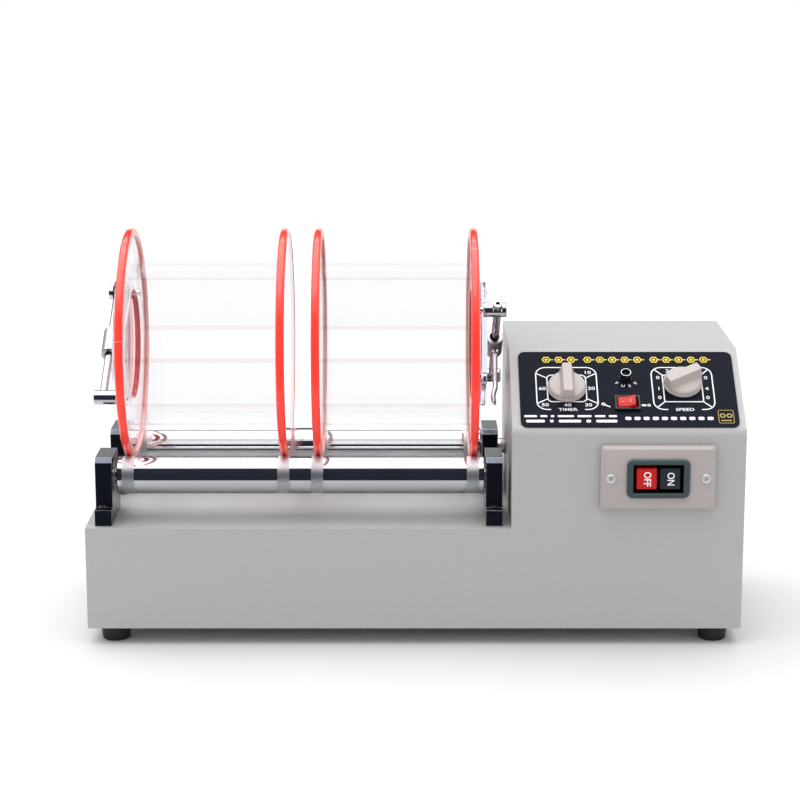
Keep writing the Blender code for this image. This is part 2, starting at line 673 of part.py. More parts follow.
def make_drive(origin):
    pulley_width = PULLEY_X[1] - PULLEY_X[0]
    for name, radius, y, z, bore, reach in (
        ("roller_pulley", ROLLER_PULLEY_RADIUS, ROLLER_Y["rear"], ROLLER_Z, JOURNAL_RADIUS + GAP, 0),
        ("motor_pulley", MOTOR_PULLEY_RADIUS, MOTOR_Y, MOTOR_Z, 0, MOTOR_X[0] - GAP - PULLEY_X[0]),
    ):
        groove = 2.0
        profile = [(0, radius), (pulley_width / 2 - 3, radius), (pulley_width / 2 - 2, radius - groove)]
        profile += [(pulley_width - x, r) for x, r in reversed(profile)]
        if bore:
            profile = [(0, bore)] + profile + [(pulley_width, bore)]
        else:
            profile = [(0, 0)] + profile + [(pulley_width, 5), (reach, 5), (reach, 0)]
        lathe(name, profile, "aluminium", origin, (PULLEY_X[0], y, z), sides=24)

    centres = ((ROLLER_Y["rear"], ROLLER_Z), (MOTOR_Y, MOTOR_Z))
    inner = [ROLLER_PULLEY_RADIUS + GAP, MOTOR_PULLEY_RADIUS + GAP]
    outer = [radius + BELT_THICKNESS for radius in inner]
    loops = [belt_loop(centres, outer, 48), belt_loop(centres, inner, 48)]
    at = (PULLEY_X[0] + (pulley_width - BELT_WIDTH) / 2, 0, 0)
    plate("drive_belt", loops, BELT_WIDTH, "belt_rubber", origin, at, FACING["right"])

    motor = [(0, 0), (0, 12), (4, 12), (4, MOTOR_RADIUS - 2), (6, MOTOR_RADIUS)]
    length = MOTOR_X[1] - MOTOR_X[0]
    motor += [(length - 2, MOTOR_RADIUS), (length, MOTOR_RADIUS - 2), (length, 0)]
    lathe("motor", motor, "aluminium", origin, (MOTOR_X[0], MOTOR_Y, MOTOR_Z), sides=32)

    # an L of plate: its foot lies on the bottom plate and the motor's boss passes through its upright
    foot_z = FOOT_HEIGHT + SHEET + GAP
    back = MOTOR_X[0] + 3.7
    outline = [(back - 3, foot_z), (back + 60, foot_z), (back + 60, foot_z + 3), (back, foot_z + 3)]
    outline += [(back, MOTOR_Z + 36), (back - 3, MOTOR_Z + 36)]
    bracket = prism("motor_bracket", outline, 76, "aluminium", origin, (0, MOTOR_Y + 38, 0), FACING["front"])
    boss = [(back - 6, 0), (back - 6, 12 + GAP), (back + 3, 12 + GAP), (back + 3, 0)]
    cut(bracket, lathe("boss_hole", boss, "aluminium", origin, (0, MOTOR_Y, MOTOR_Z), sides=24))


def make_inlet(origin):
    """A mains inlet in the rear: a flange outside the cover, with a hollow socket behind it."""
    x, z = INLET_AT
    turn = FACING["front"]
    back = DEPTH + GAP
    flange, body, socket = [
        box(name, low, high, "black_plastic", origin, (x, back, z), turn)
        for name, low, high in (
            ("power_inlet", (-20, -14, -INLET_FLANGE), (20, 14, 0)),
            ("inlet_body", (-14, -10.5, -1), (14, 10.5, 22)),
            ("inlet_socket", (-12, -8.25, -5), (12, 8.25, 18)),
        )
    ]
    join(flange, body)
    cut(flange, socket)


def main():
    clear_scene()
    for name in COLOURS:
        make_material(name)
    origin = empty("tumbler_origin", None, (-ORIGIN_X, -ORIGIN_Y, 0))
    panel = empty("panel_slope", origin, (0, 0, CREASE_Z), Matrix.Rotation(SLOPE_ANGLE, 3, "X"))
    make_housing(origin, panel)
    make_rear_cover(origin)
    make_base(origin)
    for depth_name in ("front", "rear"):
        for side in ("left", "right"):
            make_block(origin, depth_name, side)
    make_roller(origin, "front", BLOCK_X["right"] + BLOCK_THICKNESS - 1.0)
    make_roller(origin, "rear", PULLEY_X[1] + 4)
    for side in ("left", "right"):
        make_drum(origin, side)
    make_panel(panel)
    make_knob(panel, "timer_knob", TIMER_AT, 0)
    make_knob(panel, "speed_knob", SPEED_AT, SPEED_POINTS)
    make_rotary_unit(panel, "timer_unit", TIMER_AT, 44, 28)
    make_rotary_unit(panel, "speed_switch", SPEED_AT, 36, 20)
    make_fuse(panel)
    make_rocker(panel)
    make_station(origin)
    make_drive(origin)
    make_inlet(origin)


main()
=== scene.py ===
"""The looks of a twin-barrel rotary rock tumbler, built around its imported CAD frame.

Shapes are drawn in millimetres and set in place by a matrix in metres. HOUSING counts X from the housing's
left end, Y from its front face and Z from the table; PANEL counts X the same way and Y up the sloping face.
"""

import json
import math

import bmesh
import bpy
from mathutils import Matrix, Vector


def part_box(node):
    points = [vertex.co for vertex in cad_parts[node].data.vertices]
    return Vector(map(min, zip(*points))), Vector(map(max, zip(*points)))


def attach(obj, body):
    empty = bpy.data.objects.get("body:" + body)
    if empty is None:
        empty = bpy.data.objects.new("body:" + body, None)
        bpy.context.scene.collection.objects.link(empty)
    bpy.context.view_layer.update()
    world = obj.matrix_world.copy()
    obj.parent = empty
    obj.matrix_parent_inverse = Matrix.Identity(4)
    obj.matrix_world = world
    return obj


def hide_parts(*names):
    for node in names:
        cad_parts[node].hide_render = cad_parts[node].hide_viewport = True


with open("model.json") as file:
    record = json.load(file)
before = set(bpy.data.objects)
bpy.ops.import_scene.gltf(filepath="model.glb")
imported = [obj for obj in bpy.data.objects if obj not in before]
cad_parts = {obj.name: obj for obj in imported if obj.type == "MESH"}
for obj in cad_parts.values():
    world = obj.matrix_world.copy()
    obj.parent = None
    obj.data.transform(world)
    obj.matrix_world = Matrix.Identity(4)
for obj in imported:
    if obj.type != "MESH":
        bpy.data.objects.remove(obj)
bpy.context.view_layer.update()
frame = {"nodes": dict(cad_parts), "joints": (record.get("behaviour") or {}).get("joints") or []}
NODES = frame["nodes"]
JOINTS = {joint["name"]: joint for joint in frame["joints"]}

MM = 0.001
TO_METRES = Matrix.Scale(MM, 4)
SIDES = ("left", "right")
DEPTHS = ("front", "rear")

# Sizes that the frame's boxes don't give directly, in millimetres
BOX_X = 367.0
LENGTH = 567.0
DEPTH = 211.0
FOLD = 1.3
ROLLER_RADIUS = 16.3
JOURNAL_RADIUS = 6.7
KNURL_WIDTH = 11.2
KNURLS_X = (35.2, 170.1, 199.3, 334.3)
FLANGE_RADIUS = 97.5
FLANGE_THICKNESS = 5.0
TYRE_RADIUS = 102.0
TYRE_WIDTH = 7.3
DRUM_LENGTH = 143.0
FACE = DRUM_LENGTH / 2
BARREL_FLATS = 140.0
BARREL_WALL = 4.5
POST_REACH = 69.0
POST_RADIUS = 6.15
POST_SPAN = (3.5, 23.5)
BAR_HEIGHT = 15.8
BAR_RADIUS = 3.3
CAM_RADIUS = 7.4
CAM_OFFSET = 0.5
CAM_LENGTH = 30.0
LEVER_RADIUS = 2.3
LEVER_LENGTH = 60.0
PANEL_MIDDLE = (468.0, 48.0)
PANEL_THICKNESS = 1.2
CREASE_Z = 191.0
CREASE_FOLD = 4.2
TIMER_AT = (415.5, 48.4)
SPEED_AT = (516.0, 53.7)
SPEED_DIAL_AT = (516.0, 48.4)
FUSE_AT = (467.0, 60.1)
KNOB_RADIUS = 16.8
ROLLER_SPAN = (25.3, 344.4)
STUD_RADIUS = 2.2
SPEED_POINTS = math.radians(-61)
STATION_AT = (491.5, 151.4)
STATION_SCREWS_X = (451.0, 532.2)
INLET_AT = (467.0, 60.0)
DOOR_SIDE = {"left": -1, "right": 1}

# Where each tyre's joint is, in degrees, by side and by the end that the tyre is at
SEAM_TURNS = {("left", -1): -12, ("right", 1): -64}
HIDDEN_SEAM_TURN = 140


# ---- studio, in metres ----

FLOOR_REACH = 8.0
CARD_REACH = 1.6
CARD_FRONT = -0.42


def make_camera():
    camera = bpy.data.objects.new("camera", bpy.data.cameras.new("camera"))
    camera.data.sensor_width = 36.0
    camera.data.lens = 102.5
    camera.data.shift_x = -0.0087
    camera.data.clip_end = 50.0
    camera.location = (-0.0063, -1.9886, 0.6418)
    camera.rotation_euler = (math.radians(90 - 12.646), 0, 0)
    bpy.context.scene.collection.objects.link(camera)
    bpy.context.scene.camera = camera


def upright(x0, y0, x1, y1, foot, top):
    """The corners of a sheet that stands over the line between two points."""
    return [(x0, y0, foot), (x1, y1, foot), (x1, y1, top), (x0, y0, top)]


def level(x0, y0, x1, y1, z):
    """The corners of a sheet that lies flat at a height."""
    return [(x0, y0, z), (x1, y0, z), (x1, y1, z), (x0, y1, z)]


def staged_sheet(name, corners, material, card=True):
    """A flat sheet of the studio; a card is seen only where a surface mirrors it."""
    sheet = bmesh.new()
    sheet.faces.new([sheet.verts.new(corner) for corner in corners])
    mesh = bpy.data.meshes.new(name)
    sheet.to_mesh(mesh)
    sheet.free()
    mesh.materials.append(material)
    obj = bpy.data.objects.new(name, mesh)
    bpy.context.scene.collection.objects.link(obj)
    if card:
        obj.visible_camera = False
        obj.visible_diffuse = False
        obj.visible_transmission = False
        obj.visible_shadow = False


def make_studio():
    """A white room: a pale floor, a wide soft lamp above, and cards that only polished surfaces mirror."""
    world = bpy.data.worlds.new("studio")
    bpy.context.scene.world = world
    world.use_nodes = True
    world.node_tree.nodes["Background"].inputs["Color"].default_value = (1.0, 1.0, 1.0, 1)
    world.node_tree.nodes["Background"].inputs["Strength"].default_value = 1.0
    bpy.context.scene.view_settings.view_transform = "Standard"

    floor = plain_material("floor_paper", (0.66, 0.66, 0.664), 1.0)
    floor.node_tree.nodes["Principled BSDF"].inputs["Specular IOR Level"].default_value = 0.0
    staged_sheet("floor", level(-FLOOR_REACH, -FLOOR_REACH, FLOOR_REACH, FLOOR_REACH, 0), floor, card=False)

    dark = plain_material("dark_card", (0.008, 0.011, 0.024), 1.0)
    for name, y, foot, top in (
        ("dark_card_front", CARD_FRONT, 0.0, 0.59),
        ("dark_card_rear", 1.3, 0.66, 1.3),
        ("dark_card_high", 1.0, 1.62, 1.8),
    ):
        staged_sheet(name, upright(-CARD_REACH, y, CARD_REACH, y, foot, top), dark)
    for name, x in (("dark_card_left", -0.95), ("dark_card_right", 0.95)):
        staged_sheet(name, upright(x, -1.05, x, -0.5, 0.05, 1.0), dark)
    grey = plain_material("grey_card", (0.36, 0.37, 0.39), 1.0)
    staged_sheet("grey_card_floor", level(-CARD_REACH, CARD_FRONT, CARD_REACH, -0.125, 0.002), grey)

    lamp = bpy.data.lights.new("overhead", "SUN")
    lamp.energy = 2.3
    lamp.angle = math.radians(80)
    overhead = bpy.data.objects.new("overhead", lamp)
    overhead.rotation_euler = (math.radians(-8), math.radians(-12), 0)
    bpy.context.scene.collection.objects.link(overhead)


# ---- materials ----


def plain_material(name, colour, roughness):
    material = bpy.data.materials.new(name)
    material.use_nodes = True
    shader = material.node_tree.nodes["Principled BSDF"]
    shader.inputs["Base Color"].default_value = (*colour, 1)
    shader.inputs["Roughness"].default_value = roughness
    return material


def add_node(tree, kind, **values):
    node = tree.nodes.new(kind)
    for name, value in values.items():
        if hasattr(node, name):
            setattr(node, name, value)
        else:
            node.inputs[name.replace("_", " ")].default_value = value
    return node


def noise(tree, coordinates, scale, detail=2.0, stretch=None):
    texture = add_node(tree, "ShaderNodeTexNoise", Scale=scale, Detail=detail)
    source = coordinates.outputs["Object"]
    if stretch:
        mapping = add_node(tree, "ShaderNodeMapping")
        mapping.inputs["Scale"].default_value = stretch
        tree.links.new(source, mapping.inputs["Vector"])
        source = mapping.outputs["Vector"]
    tree.links.new(source, texture.inputs["Vector"])
    return texture.outputs["Fac"]


def mapped(tree, value, low, high):
    spread = add_node(tree, "ShaderNodeMapRange", From_Min=0.3, From_Max=0.7, To_Min=low, To_Max=high)
    tree.links.new(value, spread.inputs["Value"])
    return spread.outputs["Result"]


def surface(name, colour, roughness, metallic=0.0, mottle=(0.03, 40), spread=(0.04, 300), grain=None,
            stretch=None, **sockets):
    """A solid material; its mottle, the spread of its gloss and its grain are each an amount and a scale."""
    material = plain_material(name, colour, roughness)
    tree = material.node_tree
    shader = tree.nodes["Principled BSDF"]
    shader.inputs["Metallic"].default_value = metallic
    for socket, value in sockets.items():
        shader.inputs[socket.replace("_", " ")].default_value = value
    coordinates = add_node(tree, "ShaderNodeTexCoord")

    mix = add_node(tree, "ShaderNodeMix", data_type="RGBA")
    mix.inputs["A"].default_value = (*[channel * (1 - mottle[0]) for channel in colour], 1)
    mix.inputs["B"].default_value = (*[min(1.0, channel * (1 + mottle[0])) for channel in colour], 1)
    tree.links.new(mapped(tree, noise(tree, coordinates, mottle[1], 4.0), 0.0, 1.0), mix.inputs["Factor"])
    tree.links.new(mix.outputs["Result"], shader.inputs["Base Color"])

    gloss = noise(tree, coordinates, spread[1], 3.0, stretch)
    low, high = max(0.0, roughness - spread[0]), min(1.0, roughness + spread[0])
    tree.links.new(mapped(tree, gloss, low, high), shader.inputs["Roughness"])
    if grain:
        bump = add_node(tree, "ShaderNodeBump", Strength=1.0, Distance=grain[0] * MM)
        tree.links.new(noise(tree, coordinates, grain[1], 2.0, stretch), bump.inputs["Height"])
        tree.links.new(bump.outputs["Normal"], shader.inputs["Normal"])
    return material


def clear_surface(name, tint, roughness, gloss=0.7, bend=1.06):
    """A clear plastic that hardly bends sight, mirrors the room and lets the lamp's light through."""
    material = surface(name, tint, roughness, mottle=(0.004, 40), spread=(roughness / 4, 20), IOR=bend,
                       Transmission_Weight=1.0, Coat_Weight=gloss, Coat_IOR=1.49, Coat_Roughness=0.01)
    tree = material.node_tree
    glass = tree.nodes["Principled BSDF"]
    through = add_node(tree, "ShaderNodeBsdfTransparent", Color=(*tint, 1))
    path = add_node(tree, "ShaderNodeLightPath")
    mix = add_node(tree, "ShaderNodeMixShader")
    tree.links.new(path.outputs["Is Shadow Ray"], mix.inputs["Fac"])
    tree.links.new(glass.outputs["BSDF"], mix.inputs[1])
    tree.links.new(through.outputs["BSDF"], mix.inputs[2])
    tree.links.new(mix.outputs["Shader"], tree.nodes["Material Output"].inputs["Surface"])
    return material


def make_materials():
    turned = (1.0, 30.0, 30.0)  # fine marks that run round the X axis
    return {
        "paint": surface(
            "powder_coat", (0.408, 0.412, 0.405), 0.42, mottle=(0.035, 650), spread=(0.06, 700),
            grain=(0.09, 750)
        ),
        # chrome's near-black specular tint darkens it where it turns away from view: painted shade along the
        # rims of round parts
        "chrome": surface(
            "chrome_plate", (0.78, 0.78, 0.8), 0.045, 1.0, mottle=(0.01, 40), spread=(0.02, 60),
            stretch=turned, Specular_Tint=(0.12, 0.12, 0.14, 1)
        ),
        "knurl": surface(
            "knurled_steel", (0.72, 0.73, 0.75), 0.5, 1.0, mottle=(0.15, 900), spread=(0.12, 1500),
            grain=(0.06, 1600)
        ),
        "anodised": surface(
            "black_anodised", (0.006, 0.007, 0.012), 0.16, 0.0, mottle=(0.1, 40), spread=(0.05, 300),
            grain=(0.004, 4000), Specular_IOR_Level=0.22, Specular_Tint=(0.72, 0.83, 1.0, 1)
        ),
        # A lighter metal for the rounded edges of dark parts: painted highlight along the edges, not a finish
        # of their own
        "painted_edge_highlight": surface(
            "painted_edge_highlight", (0.42, 0.44, 0.5), 0.25, 1.0, mottle=(0.08, 40), spread=(0.06, 300),
            grain=(0.004, 3000)
        ),
        # A lighter metal copy of the black anodising for shoulders that slope up towards the light: painted
        # sheen
        "shoulder": surface(
            "painted_shoulder_sheen", (0.13, 0.14, 0.175), 0.3, 1.0, mottle=(0.08, 40), spread=(0.06, 300),
            grain=(0.004, 3000)
        ),
        "steel": surface(
            "polished_steel", (0.84, 0.84, 0.85), 0.42, 0.6, mottle=(0.03, 40), spread=(0.06, 900)
        ),
        # satin steel's dark specular tint darkens it where it turns away from view: painted shade along the
        # rims of round parts
        "satin_steel": surface(
            "satin_steel", (0.62, 0.62, 0.635), 0.3, 1.0, mottle=(0.02, 40), spread=(0.06, 500),
            stretch=turned, Specular_Tint=(0.2, 0.2, 0.22, 1)
        ),
        "acrylic": clear_surface("clear_acrylic", (0.949, 0.949, 0.954), 0.022, bend=1.004),
        "acrylic_flange": clear_surface("clear_acrylic_flange", (0.84, 0.825, 0.855), 0.02, bend=1.02),
        "acrylic_lid": clear_surface("clear_acrylic_lid", (0.8, 0.79, 0.89), 0.02),
        "bond": clear_surface("bonded_joint", (0.93, 0.87, 0.88), 0.02, 0.0, 1.004),
        "silicone_lip": surface(
            "red_silicone_lip", (1.0, 0.5, 0.47), 0.3, mottle=(0.04, 40), spread=(0.05, 300),
            Subsurface_Weight=0.5, Subsurface_Scale=0.005
        ),
        "silicone": surface(
            "red_silicone", (1.0, 0.05, 0.03), 0.22, mottle=(0.04, 40), spread=(0.05, 300),
            Subsurface_Weight=0.25, Subsurface_Scale=0.005, Coat_Weight=0.5, Coat_Roughness=0.1
        ),
        "silicone_thin": clear_surface("red_silicone_thin", (1.0, 0.75, 0.74), 0.05, 0.1, 1.004),
        "seam": surface("bonded_seam", (0.95, 0.42, 0.38), 0.3, mottle=(0.05, 40)),
        "panel": surface(
            "panel_ink", (0.006, 0.008, 0.015), 0.34, mottle=(0.08, 40), spread=(0.04, 300),
            grain=(0.006, 3500), Specular_IOR_Level=0.05
        ),
        "beige": surface(
            "moulded_beige", (0.46, 0.415, 0.395), 0.42, mottle=(0.02, 40), spread=(0.06, 300),
            grain=(0.012, 2600)
        ),
        "plate": surface(
            "switch_plate_paint", (0.40, 0.36, 0.352), 0.4, mottle=(0.02, 40), spread=(0.05, 300),
            grain=(0.01, 1400)
        ),
        "black": surface(
            "moulded_black", (0.008, 0.008, 0.01), 0.25, mottle=(0.1, 40), spread=(0.06, 300),
            grain=(0.008, 2800), Specular_IOR_Level=0.35
        ),
        "slate": surface(
            "moulded_slate", (0.02, 0.022, 0.032), 0.38, mottle=(0.08, 40), spread=(0.05, 300),
            grain=(0.01, 2800)
        ),
        "green": surface(
            "moulded_green", (0.042, 0.068, 0.073), 0.38, mottle=(0.06, 40), spread=(0.05, 300),
            grain=(0.01, 2600)
        ),
        "red": surface(
            "moulded_red", (0.52, 0.009, 0.009), 0.3, mottle=(0.03, 40), spread=(0.05, 300),
            Subsurface_Weight=0.1, Subsurface_Scale=0.002, Specular_IOR_Level=0.3
        ),
        "rubber": surface(
            "foot_rubber", (0.012, 0.012, 0.014), 0.62, mottle=(0.15, 40), spread=(0.08, 300),
            grain=(0.02, 1800)
        ),
        "belt": surface(
            "belt_rubber", (0.02, 0.02, 0.021), 0.7, mottle=(0.15, 40), spread=(0.08, 300),
            grain=(0.03, 1500)
        ),
        "aluminium": surface(
            "machined_aluminium", (0.68, 0.68, 0.69), 0.3, 1.0, mottle=(0.03, 40), spread=(0.08, 600),
            stretch=turned
        ),
        "white_ink": surface("white_ink", (0.82, 0.83, 0.86), 0.45, mottle=(0.03, 40), spread=(0.05, 300)),
        "yellow_ink": surface("yellow_ink", (0.85, 0.62, 0.05), 0.45, mottle=(0.05, 40), spread=(0.05, 300)),
        "gold_ink": surface("gold_ink", (0.42, 0.31, 0.06), 0.4, mottle=(0.06, 40), spread=(0.05, 300)),
        # Near-black laid in screw recesses and the switch's opening: painted shade, not the parts' own colour
        "shade_in_recess": surface("painted_recess_shade", (0.006, 0.006, 0.008), 0.5, mottle=(0.2, 40)),
    }


# ---- forms: each is drawn into a bmesh, in millimetres ----


def revolve(form, profile, sides=96):
    """Turns a profile of (radius, z) about Z, and closes it unless both its ends are on Z."""
    rings = []
    for radius, z in profile:
        if radius < 1e-6:
            rings.append([form.verts.new((0, 0, z))])
            continue
        rings.append([form.verts.new((x, y, z)) for x, y in circle(radius, sides)])
    pairs = list(zip(rings, rings[1:]))
    if len(rings[0]) > 1 or len(rings[-1]) > 1:
        pairs.append((rings[-1], rings[0]))
    for low, high in pairs:
        for i in range(sides):
            j = (i + 1) % sides
            corners = [low[i % len(low)], low[j % len(low)], high[j % len(high)], high[i % len(high)]]
            corners = list(dict.fromkeys(corners))
            if len(corners) > 2:
                form.faces.new(corners)
    return form


def loft(form, loops, closed=False):
    """Skins a stack of loops, each a list of points; the ends are capped unless the stack is closed."""
    rings = [[form.verts.new(point) for point in loop] for loop in loops]
    pairs = list(zip(rings, rings[1:]))
    if closed:
        pairs.append((rings[-1], rings[0]))
    for low, high in pairs:
        count = len(low)
        for i in range(count):
            j = (i + 1) % count
            form.faces.new((low[i], low[j], high[j], high[i]))
    if not closed:
        form.faces.new(rings[0])
        form.faces.new(rings[-1])
    return form


def at_height(outline, z):
    """An outline's points in the plane at a height."""
    return [(x, y, z) for x, y in outline]


def prism(form, outline, low, high):
    return loft(form, [at_height(outline, low), at_height(outline, high)])


def frame_prism(form, outer, inner, low, high):
    """A flat frame between two outlines with the same number of points."""
    stack = ((outer, low), (outer, high), (inner, high), (inner, low))
    return loft(form, [at_height(outline, z) for outline, z in stack], closed=True)


def circle(radius, sides=48, at=(0, 0)):
    turns = [2 * math.pi * i / sides for i in range(sides)]
    return [(at[0] + radius * math.cos(a), at[1] + radius * math.sin(a)) for a in turns]


def arc(centre, radius, start, end, steps=6):
    """Points on an arc, its angles in degrees."""
    turns = [math.radians(start + (end - start) * i / steps) for i in range(steps + 1)]
    return [(centre[0] + radius * math.cos(a), centre[1] + radius * math.sin(a)) for a in turns]


def rounded(width, height, radius, at=(0, 0), steps=5):
    loop = []
    for corner, (x, y) in enumerate(((1, 1), (-1, 1), (-1, -1), (1, -1))):
        centre = (at[0] + x * (width / 2 - radius), at[1] + y * (height / 2 - radius))
        loop += arc(centre, radius, corner * 90, corner * 90 + 90, steps)
    return loop


def sweep(form, path, radii, sides=24):
    """A round rod along a path, its radius changing from point to point, with both ends closed."""
    points = [Vector(point) for point in path]
    loops = []
    side = None
    for i, (point, radius) in enumerate(zip(points, radii)):
        ahead = points[min(i + 1, len(points) - 1)] - points[max(i - 1, 0)]
        ahead.normalize()
        if side is None:
            side = ahead.orthogonal().normalized()
        side = (side - ahead * side.dot(ahead)).normalized()
        up = ahead.cross(side)
        loops.append([point + (side * x + up * y) for x, y in circle(radius, sides)])
    return loft(form, loops)


def ribbon(form, points, width, low, high):
    """A flat line of ink through points, with square ends."""
    for (x0, y0), (x1, y1) in zip(points, points[1:]):
        length = math.hypot(x1 - x0, y1 - y0)
        across = ((y1 - y0) / length * width / 2, -(x1 - x0) / length * width / 2)
        outline = [(x0 + across[0], y0 + across[1]), (x1 + across[0], y1 + across[1]),
                   (x1 - across[0], y1 - across[1]), (x0 - across[0], y0 - across[1])]
        prism(form, outline, low, high)


def lettering(form, text, size, at, low, high, turn=0.0, stretch=1.0, weight=0.03):
    """Solid letters in the form's own XY, centred on a point."""
    curve = bpy.data.curves.new("letters", "FONT")
    curve.body = text
    curve.size = size
    curve.align_x = "CENTER"
    curve.align_y = "CENTER"
    curve.offset = weight * size
    curve.extrude = (high - low) / 2
    curve.resolution_u = 4
    letters = bpy.data.objects.new("letters", curve)
    bpy.context.scene.collection.objects.link(letters)
    mesh = bpy.data.meshes.new_from_object(letters)
    place = Matrix.Translation((at[0], at[1], (low + high) / 2)) @ Matrix.Rotation(turn, 4, "Z")
    mesh.transform(place @ Matrix.Diagonal((stretch, 1, 1, 1)))
    form.from_mesh(mesh)
    bpy.data.objects.remove(letters)
    bpy.data.meshes.remove(mesh)


def bevel_sharp(form, width, segments=2, angle=30.0, shortest=0.0, slot=None):
    """Rounds the edges whose faces meet at more than an angle, and which are at least a length long."""
    bmesh.ops.recalc_face_normals(form, faces=form.faces)
    edges = [
        edge
        for edge in form.edges
        if len(edge.link_faces) == 2
        and edge.calc_face_angle() > math.radians(angle)
        and edge.calc_length() >= shortest
    ]
    made = bmesh.ops.bevel(form, geom=edges, offset=width, segments=segments, profile=0.5, affect="EDGES",
                           clamp_overlap=True)
    if slot is not None:
        for face in made["faces"]:
            face.material_index = slot
    return form


def cad_form(node):
    """A CAD node's own shape in metres, its shared corners merged and its flat faces joined."""
    form = bmesh.new()
    form.from_mesh(NODES[node].data)
    bmesh.ops.remove_doubles(form, verts=form.verts, dist=1e-6)
    bmesh.ops.dissolve_limit(form, angle_limit=math.radians(1), verts=form.verts, edges=form.edges)
    for face in form.faces:
        face.material_index = 0
    return form


def build(name, form, place, materials, sharp=35.0, weighted=False):
    """Turns a form into an object at its place in the frame."""
    bmesh.ops.remove_doubles(form, verts=form.verts, dist=1e-5 if place is None else 1e-3)
    bmesh.ops.recalc_face_normals(form, faces=form.faces)
    mesh = bpy.data.meshes.new(name)
    form.to_mesh(mesh)
    form.free()
    if place is not None:
        mesh.transform(place @ TO_METRES)
    for material in materials:
        mesh.materials.append(M[material])
    mesh.shade_smooth()
    mesh.set_sharp_from_angle(angle=math.radians(sharp))
    obj = bpy.data.objects.new(name, mesh)
    bpy.context.scene.collection.objects.link(obj)
    if weighted:
        obj.modifiers.new("even_shading", "WEIGHTED_NORMAL").keep_sharp = True
    return obj


def piece(name, form, place, materials, body, replaces=(), sharp=35.0, weighted=False):
    """Builds an object, lets it ride on a body, and hides the CAD nodes that it stands for."""
    obj = build(name, form, place, materials, sharp, weighted)
    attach(obj, body)
    if replaces:
        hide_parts(*replaces)
    return obj


def carve(obj, form, place, operation="DIFFERENCE"):
    """Cuts a form from an object, or joins it on, for good."""
    tool = build("tool", form, place, [])
    modifier = obj.modifiers.new("carve", "BOOLEAN")
    modifier.operation = operation
    modifier.solver = "EXACT"
    modifier.object = tool
    keep_shape(obj)
    bpy.data.objects.remove(tool)


def keep_shape(obj, sharp=35.0):
    """Makes what an object's modifiers do part of its mesh."""
    bpy.context.view_layer.update()
    shaped = bpy.data.meshes.new_from_object(obj.evaluated_get(bpy.context.evaluated_depsgraph_get()))
    obj.modifiers.clear()
    obj.data = shaped
    shaped.shade_smooth()
    shaped.set_sharp_from_angle(angle=math.radians(sharp))


def detailed(node, width, materials, body, segments=2, edge_slot=None):
    """A CAD node's shape with its sharp edges rounded, standing for the node."""
    form = bevel_sharp(cad_form(node), width * MM, segments, slot=edge_slot)
    piece(f"{node}_finished", form, None, materials, body, [node], weighted=True)


def edged_disc(radius, low, high, edge, sides):
    """A solid disc with its rims broken."""
    profile = [(0, low), (radius - edge, low), (radius, low + edge)]
    profile += [(radius, high - edge), (radius - edge, high), (0, high)]
    return revolve(bmesh.new(), profile, sides)


def facing(at, z, x):
    """A place whose own Z and X point along two directions."""
    z = Vector(z).normalized()
    x = (Vector(x) - z * Vector(x).dot(z)).normalized()
    turn = Matrix((x, z.cross(x), z)).transposed().to_4x4()
    return Matrix.Translation(at) @ turn


HOUSING_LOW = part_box("base_housing")[0]
HOUSING = Matrix.Translation((HOUSING_LOW.x, HOUSING_LOW.y, 0))


def housing(x, y, z):
    return HOUSING @ (Vector((x, y, z)) * MM)


OUTWARD = -Vector(JOINTS["timer_turn"]["axis"])
PLATE_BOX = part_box("panel_plate")
PLATE_MIDDLE = (PLATE_BOX[0] + PLATE_BOX[1]) / 2 + OUTWARD * (PANEL_THICKNESS / 2 * MM)
PANEL = facing(PLATE_MIDDLE, OUTWARD, (1, 0, 0)) @ Matrix.Translation(
    (-PANEL_MIDDLE[0] * MM, -PANEL_MIDDLE[1] * MM, 0)
)


def on_panel(x, y, z=0.0):
    """A place on the panel's face, at millimetres along it, up it and out of it."""
    return PANEL @ Matrix.Translation(Vector((x, y, z)) * MM)


def front_face(x, z, y=0.0):
    """A place on the housing's front, its own Z out of it and its Y up."""
    return facing(housing(x, y, z), (0, -1, 0), (1, 0, 0))


def rear_face(x, z, y=DEPTH):
    """A place on the housing's rear, its own Z out of it and its Y up."""
    return facing(housing(x, y, z), (0, 1, 0), (-1, 0, 0))


# ---- fasteners ----


def screw_head(name, place, radius, height, body, recess="cross", material="steel"):
    """A domed screw head with a cross recess, or a cap head with a hexagon socket."""
    if recess == "cross":
        turns = [math.pi / 2 * i / 8 for i in range(8)]
        top = [(radius * math.cos(a), height * 0.35 + height * 0.65 * math.sin(a)) for a in turns]
        arm, width = radius * 0.62, radius * 0.2
        cuts = []
        for across, up in ((arm, width), (width, arm)):
            bottom = at_height(rounded(across * 1.1, up * 1.1, width * 0.25), height * 0.3)
            mouth = at_height(rounded(across * 2, up * 2, width * 0.5), height + 1)
            cuts.append(loft(bmesh.new(), [bottom, mouth]))
    else:
        edge = radius * 0.14
        top = [(radius, height - edge), (radius - edge, height)]
        cuts = [prism(bmesh.new(), circle(radius * 0.55, 6), height * 0.35, height + 1)]
    form = revolve(bmesh.new(), [(0, -0.4), (radius, -0.4)] + top + [(0, height)], 40)
    # the second slot is near-black: painted shade for the recess
    head = piece(name, form, place, [material, "shade_in_recess"], body)
    for cut in cuts:
        carve(head, cut, place)


# ---- housing ----


def on_crease(point):
    """Whether a corner of the shell lies on the fold between its front and its slope."""
    return abs(point.y - HOUSING_LOW.y) < 1e-4 and abs(point.z - CREASE_Z * MM) < 1e-3


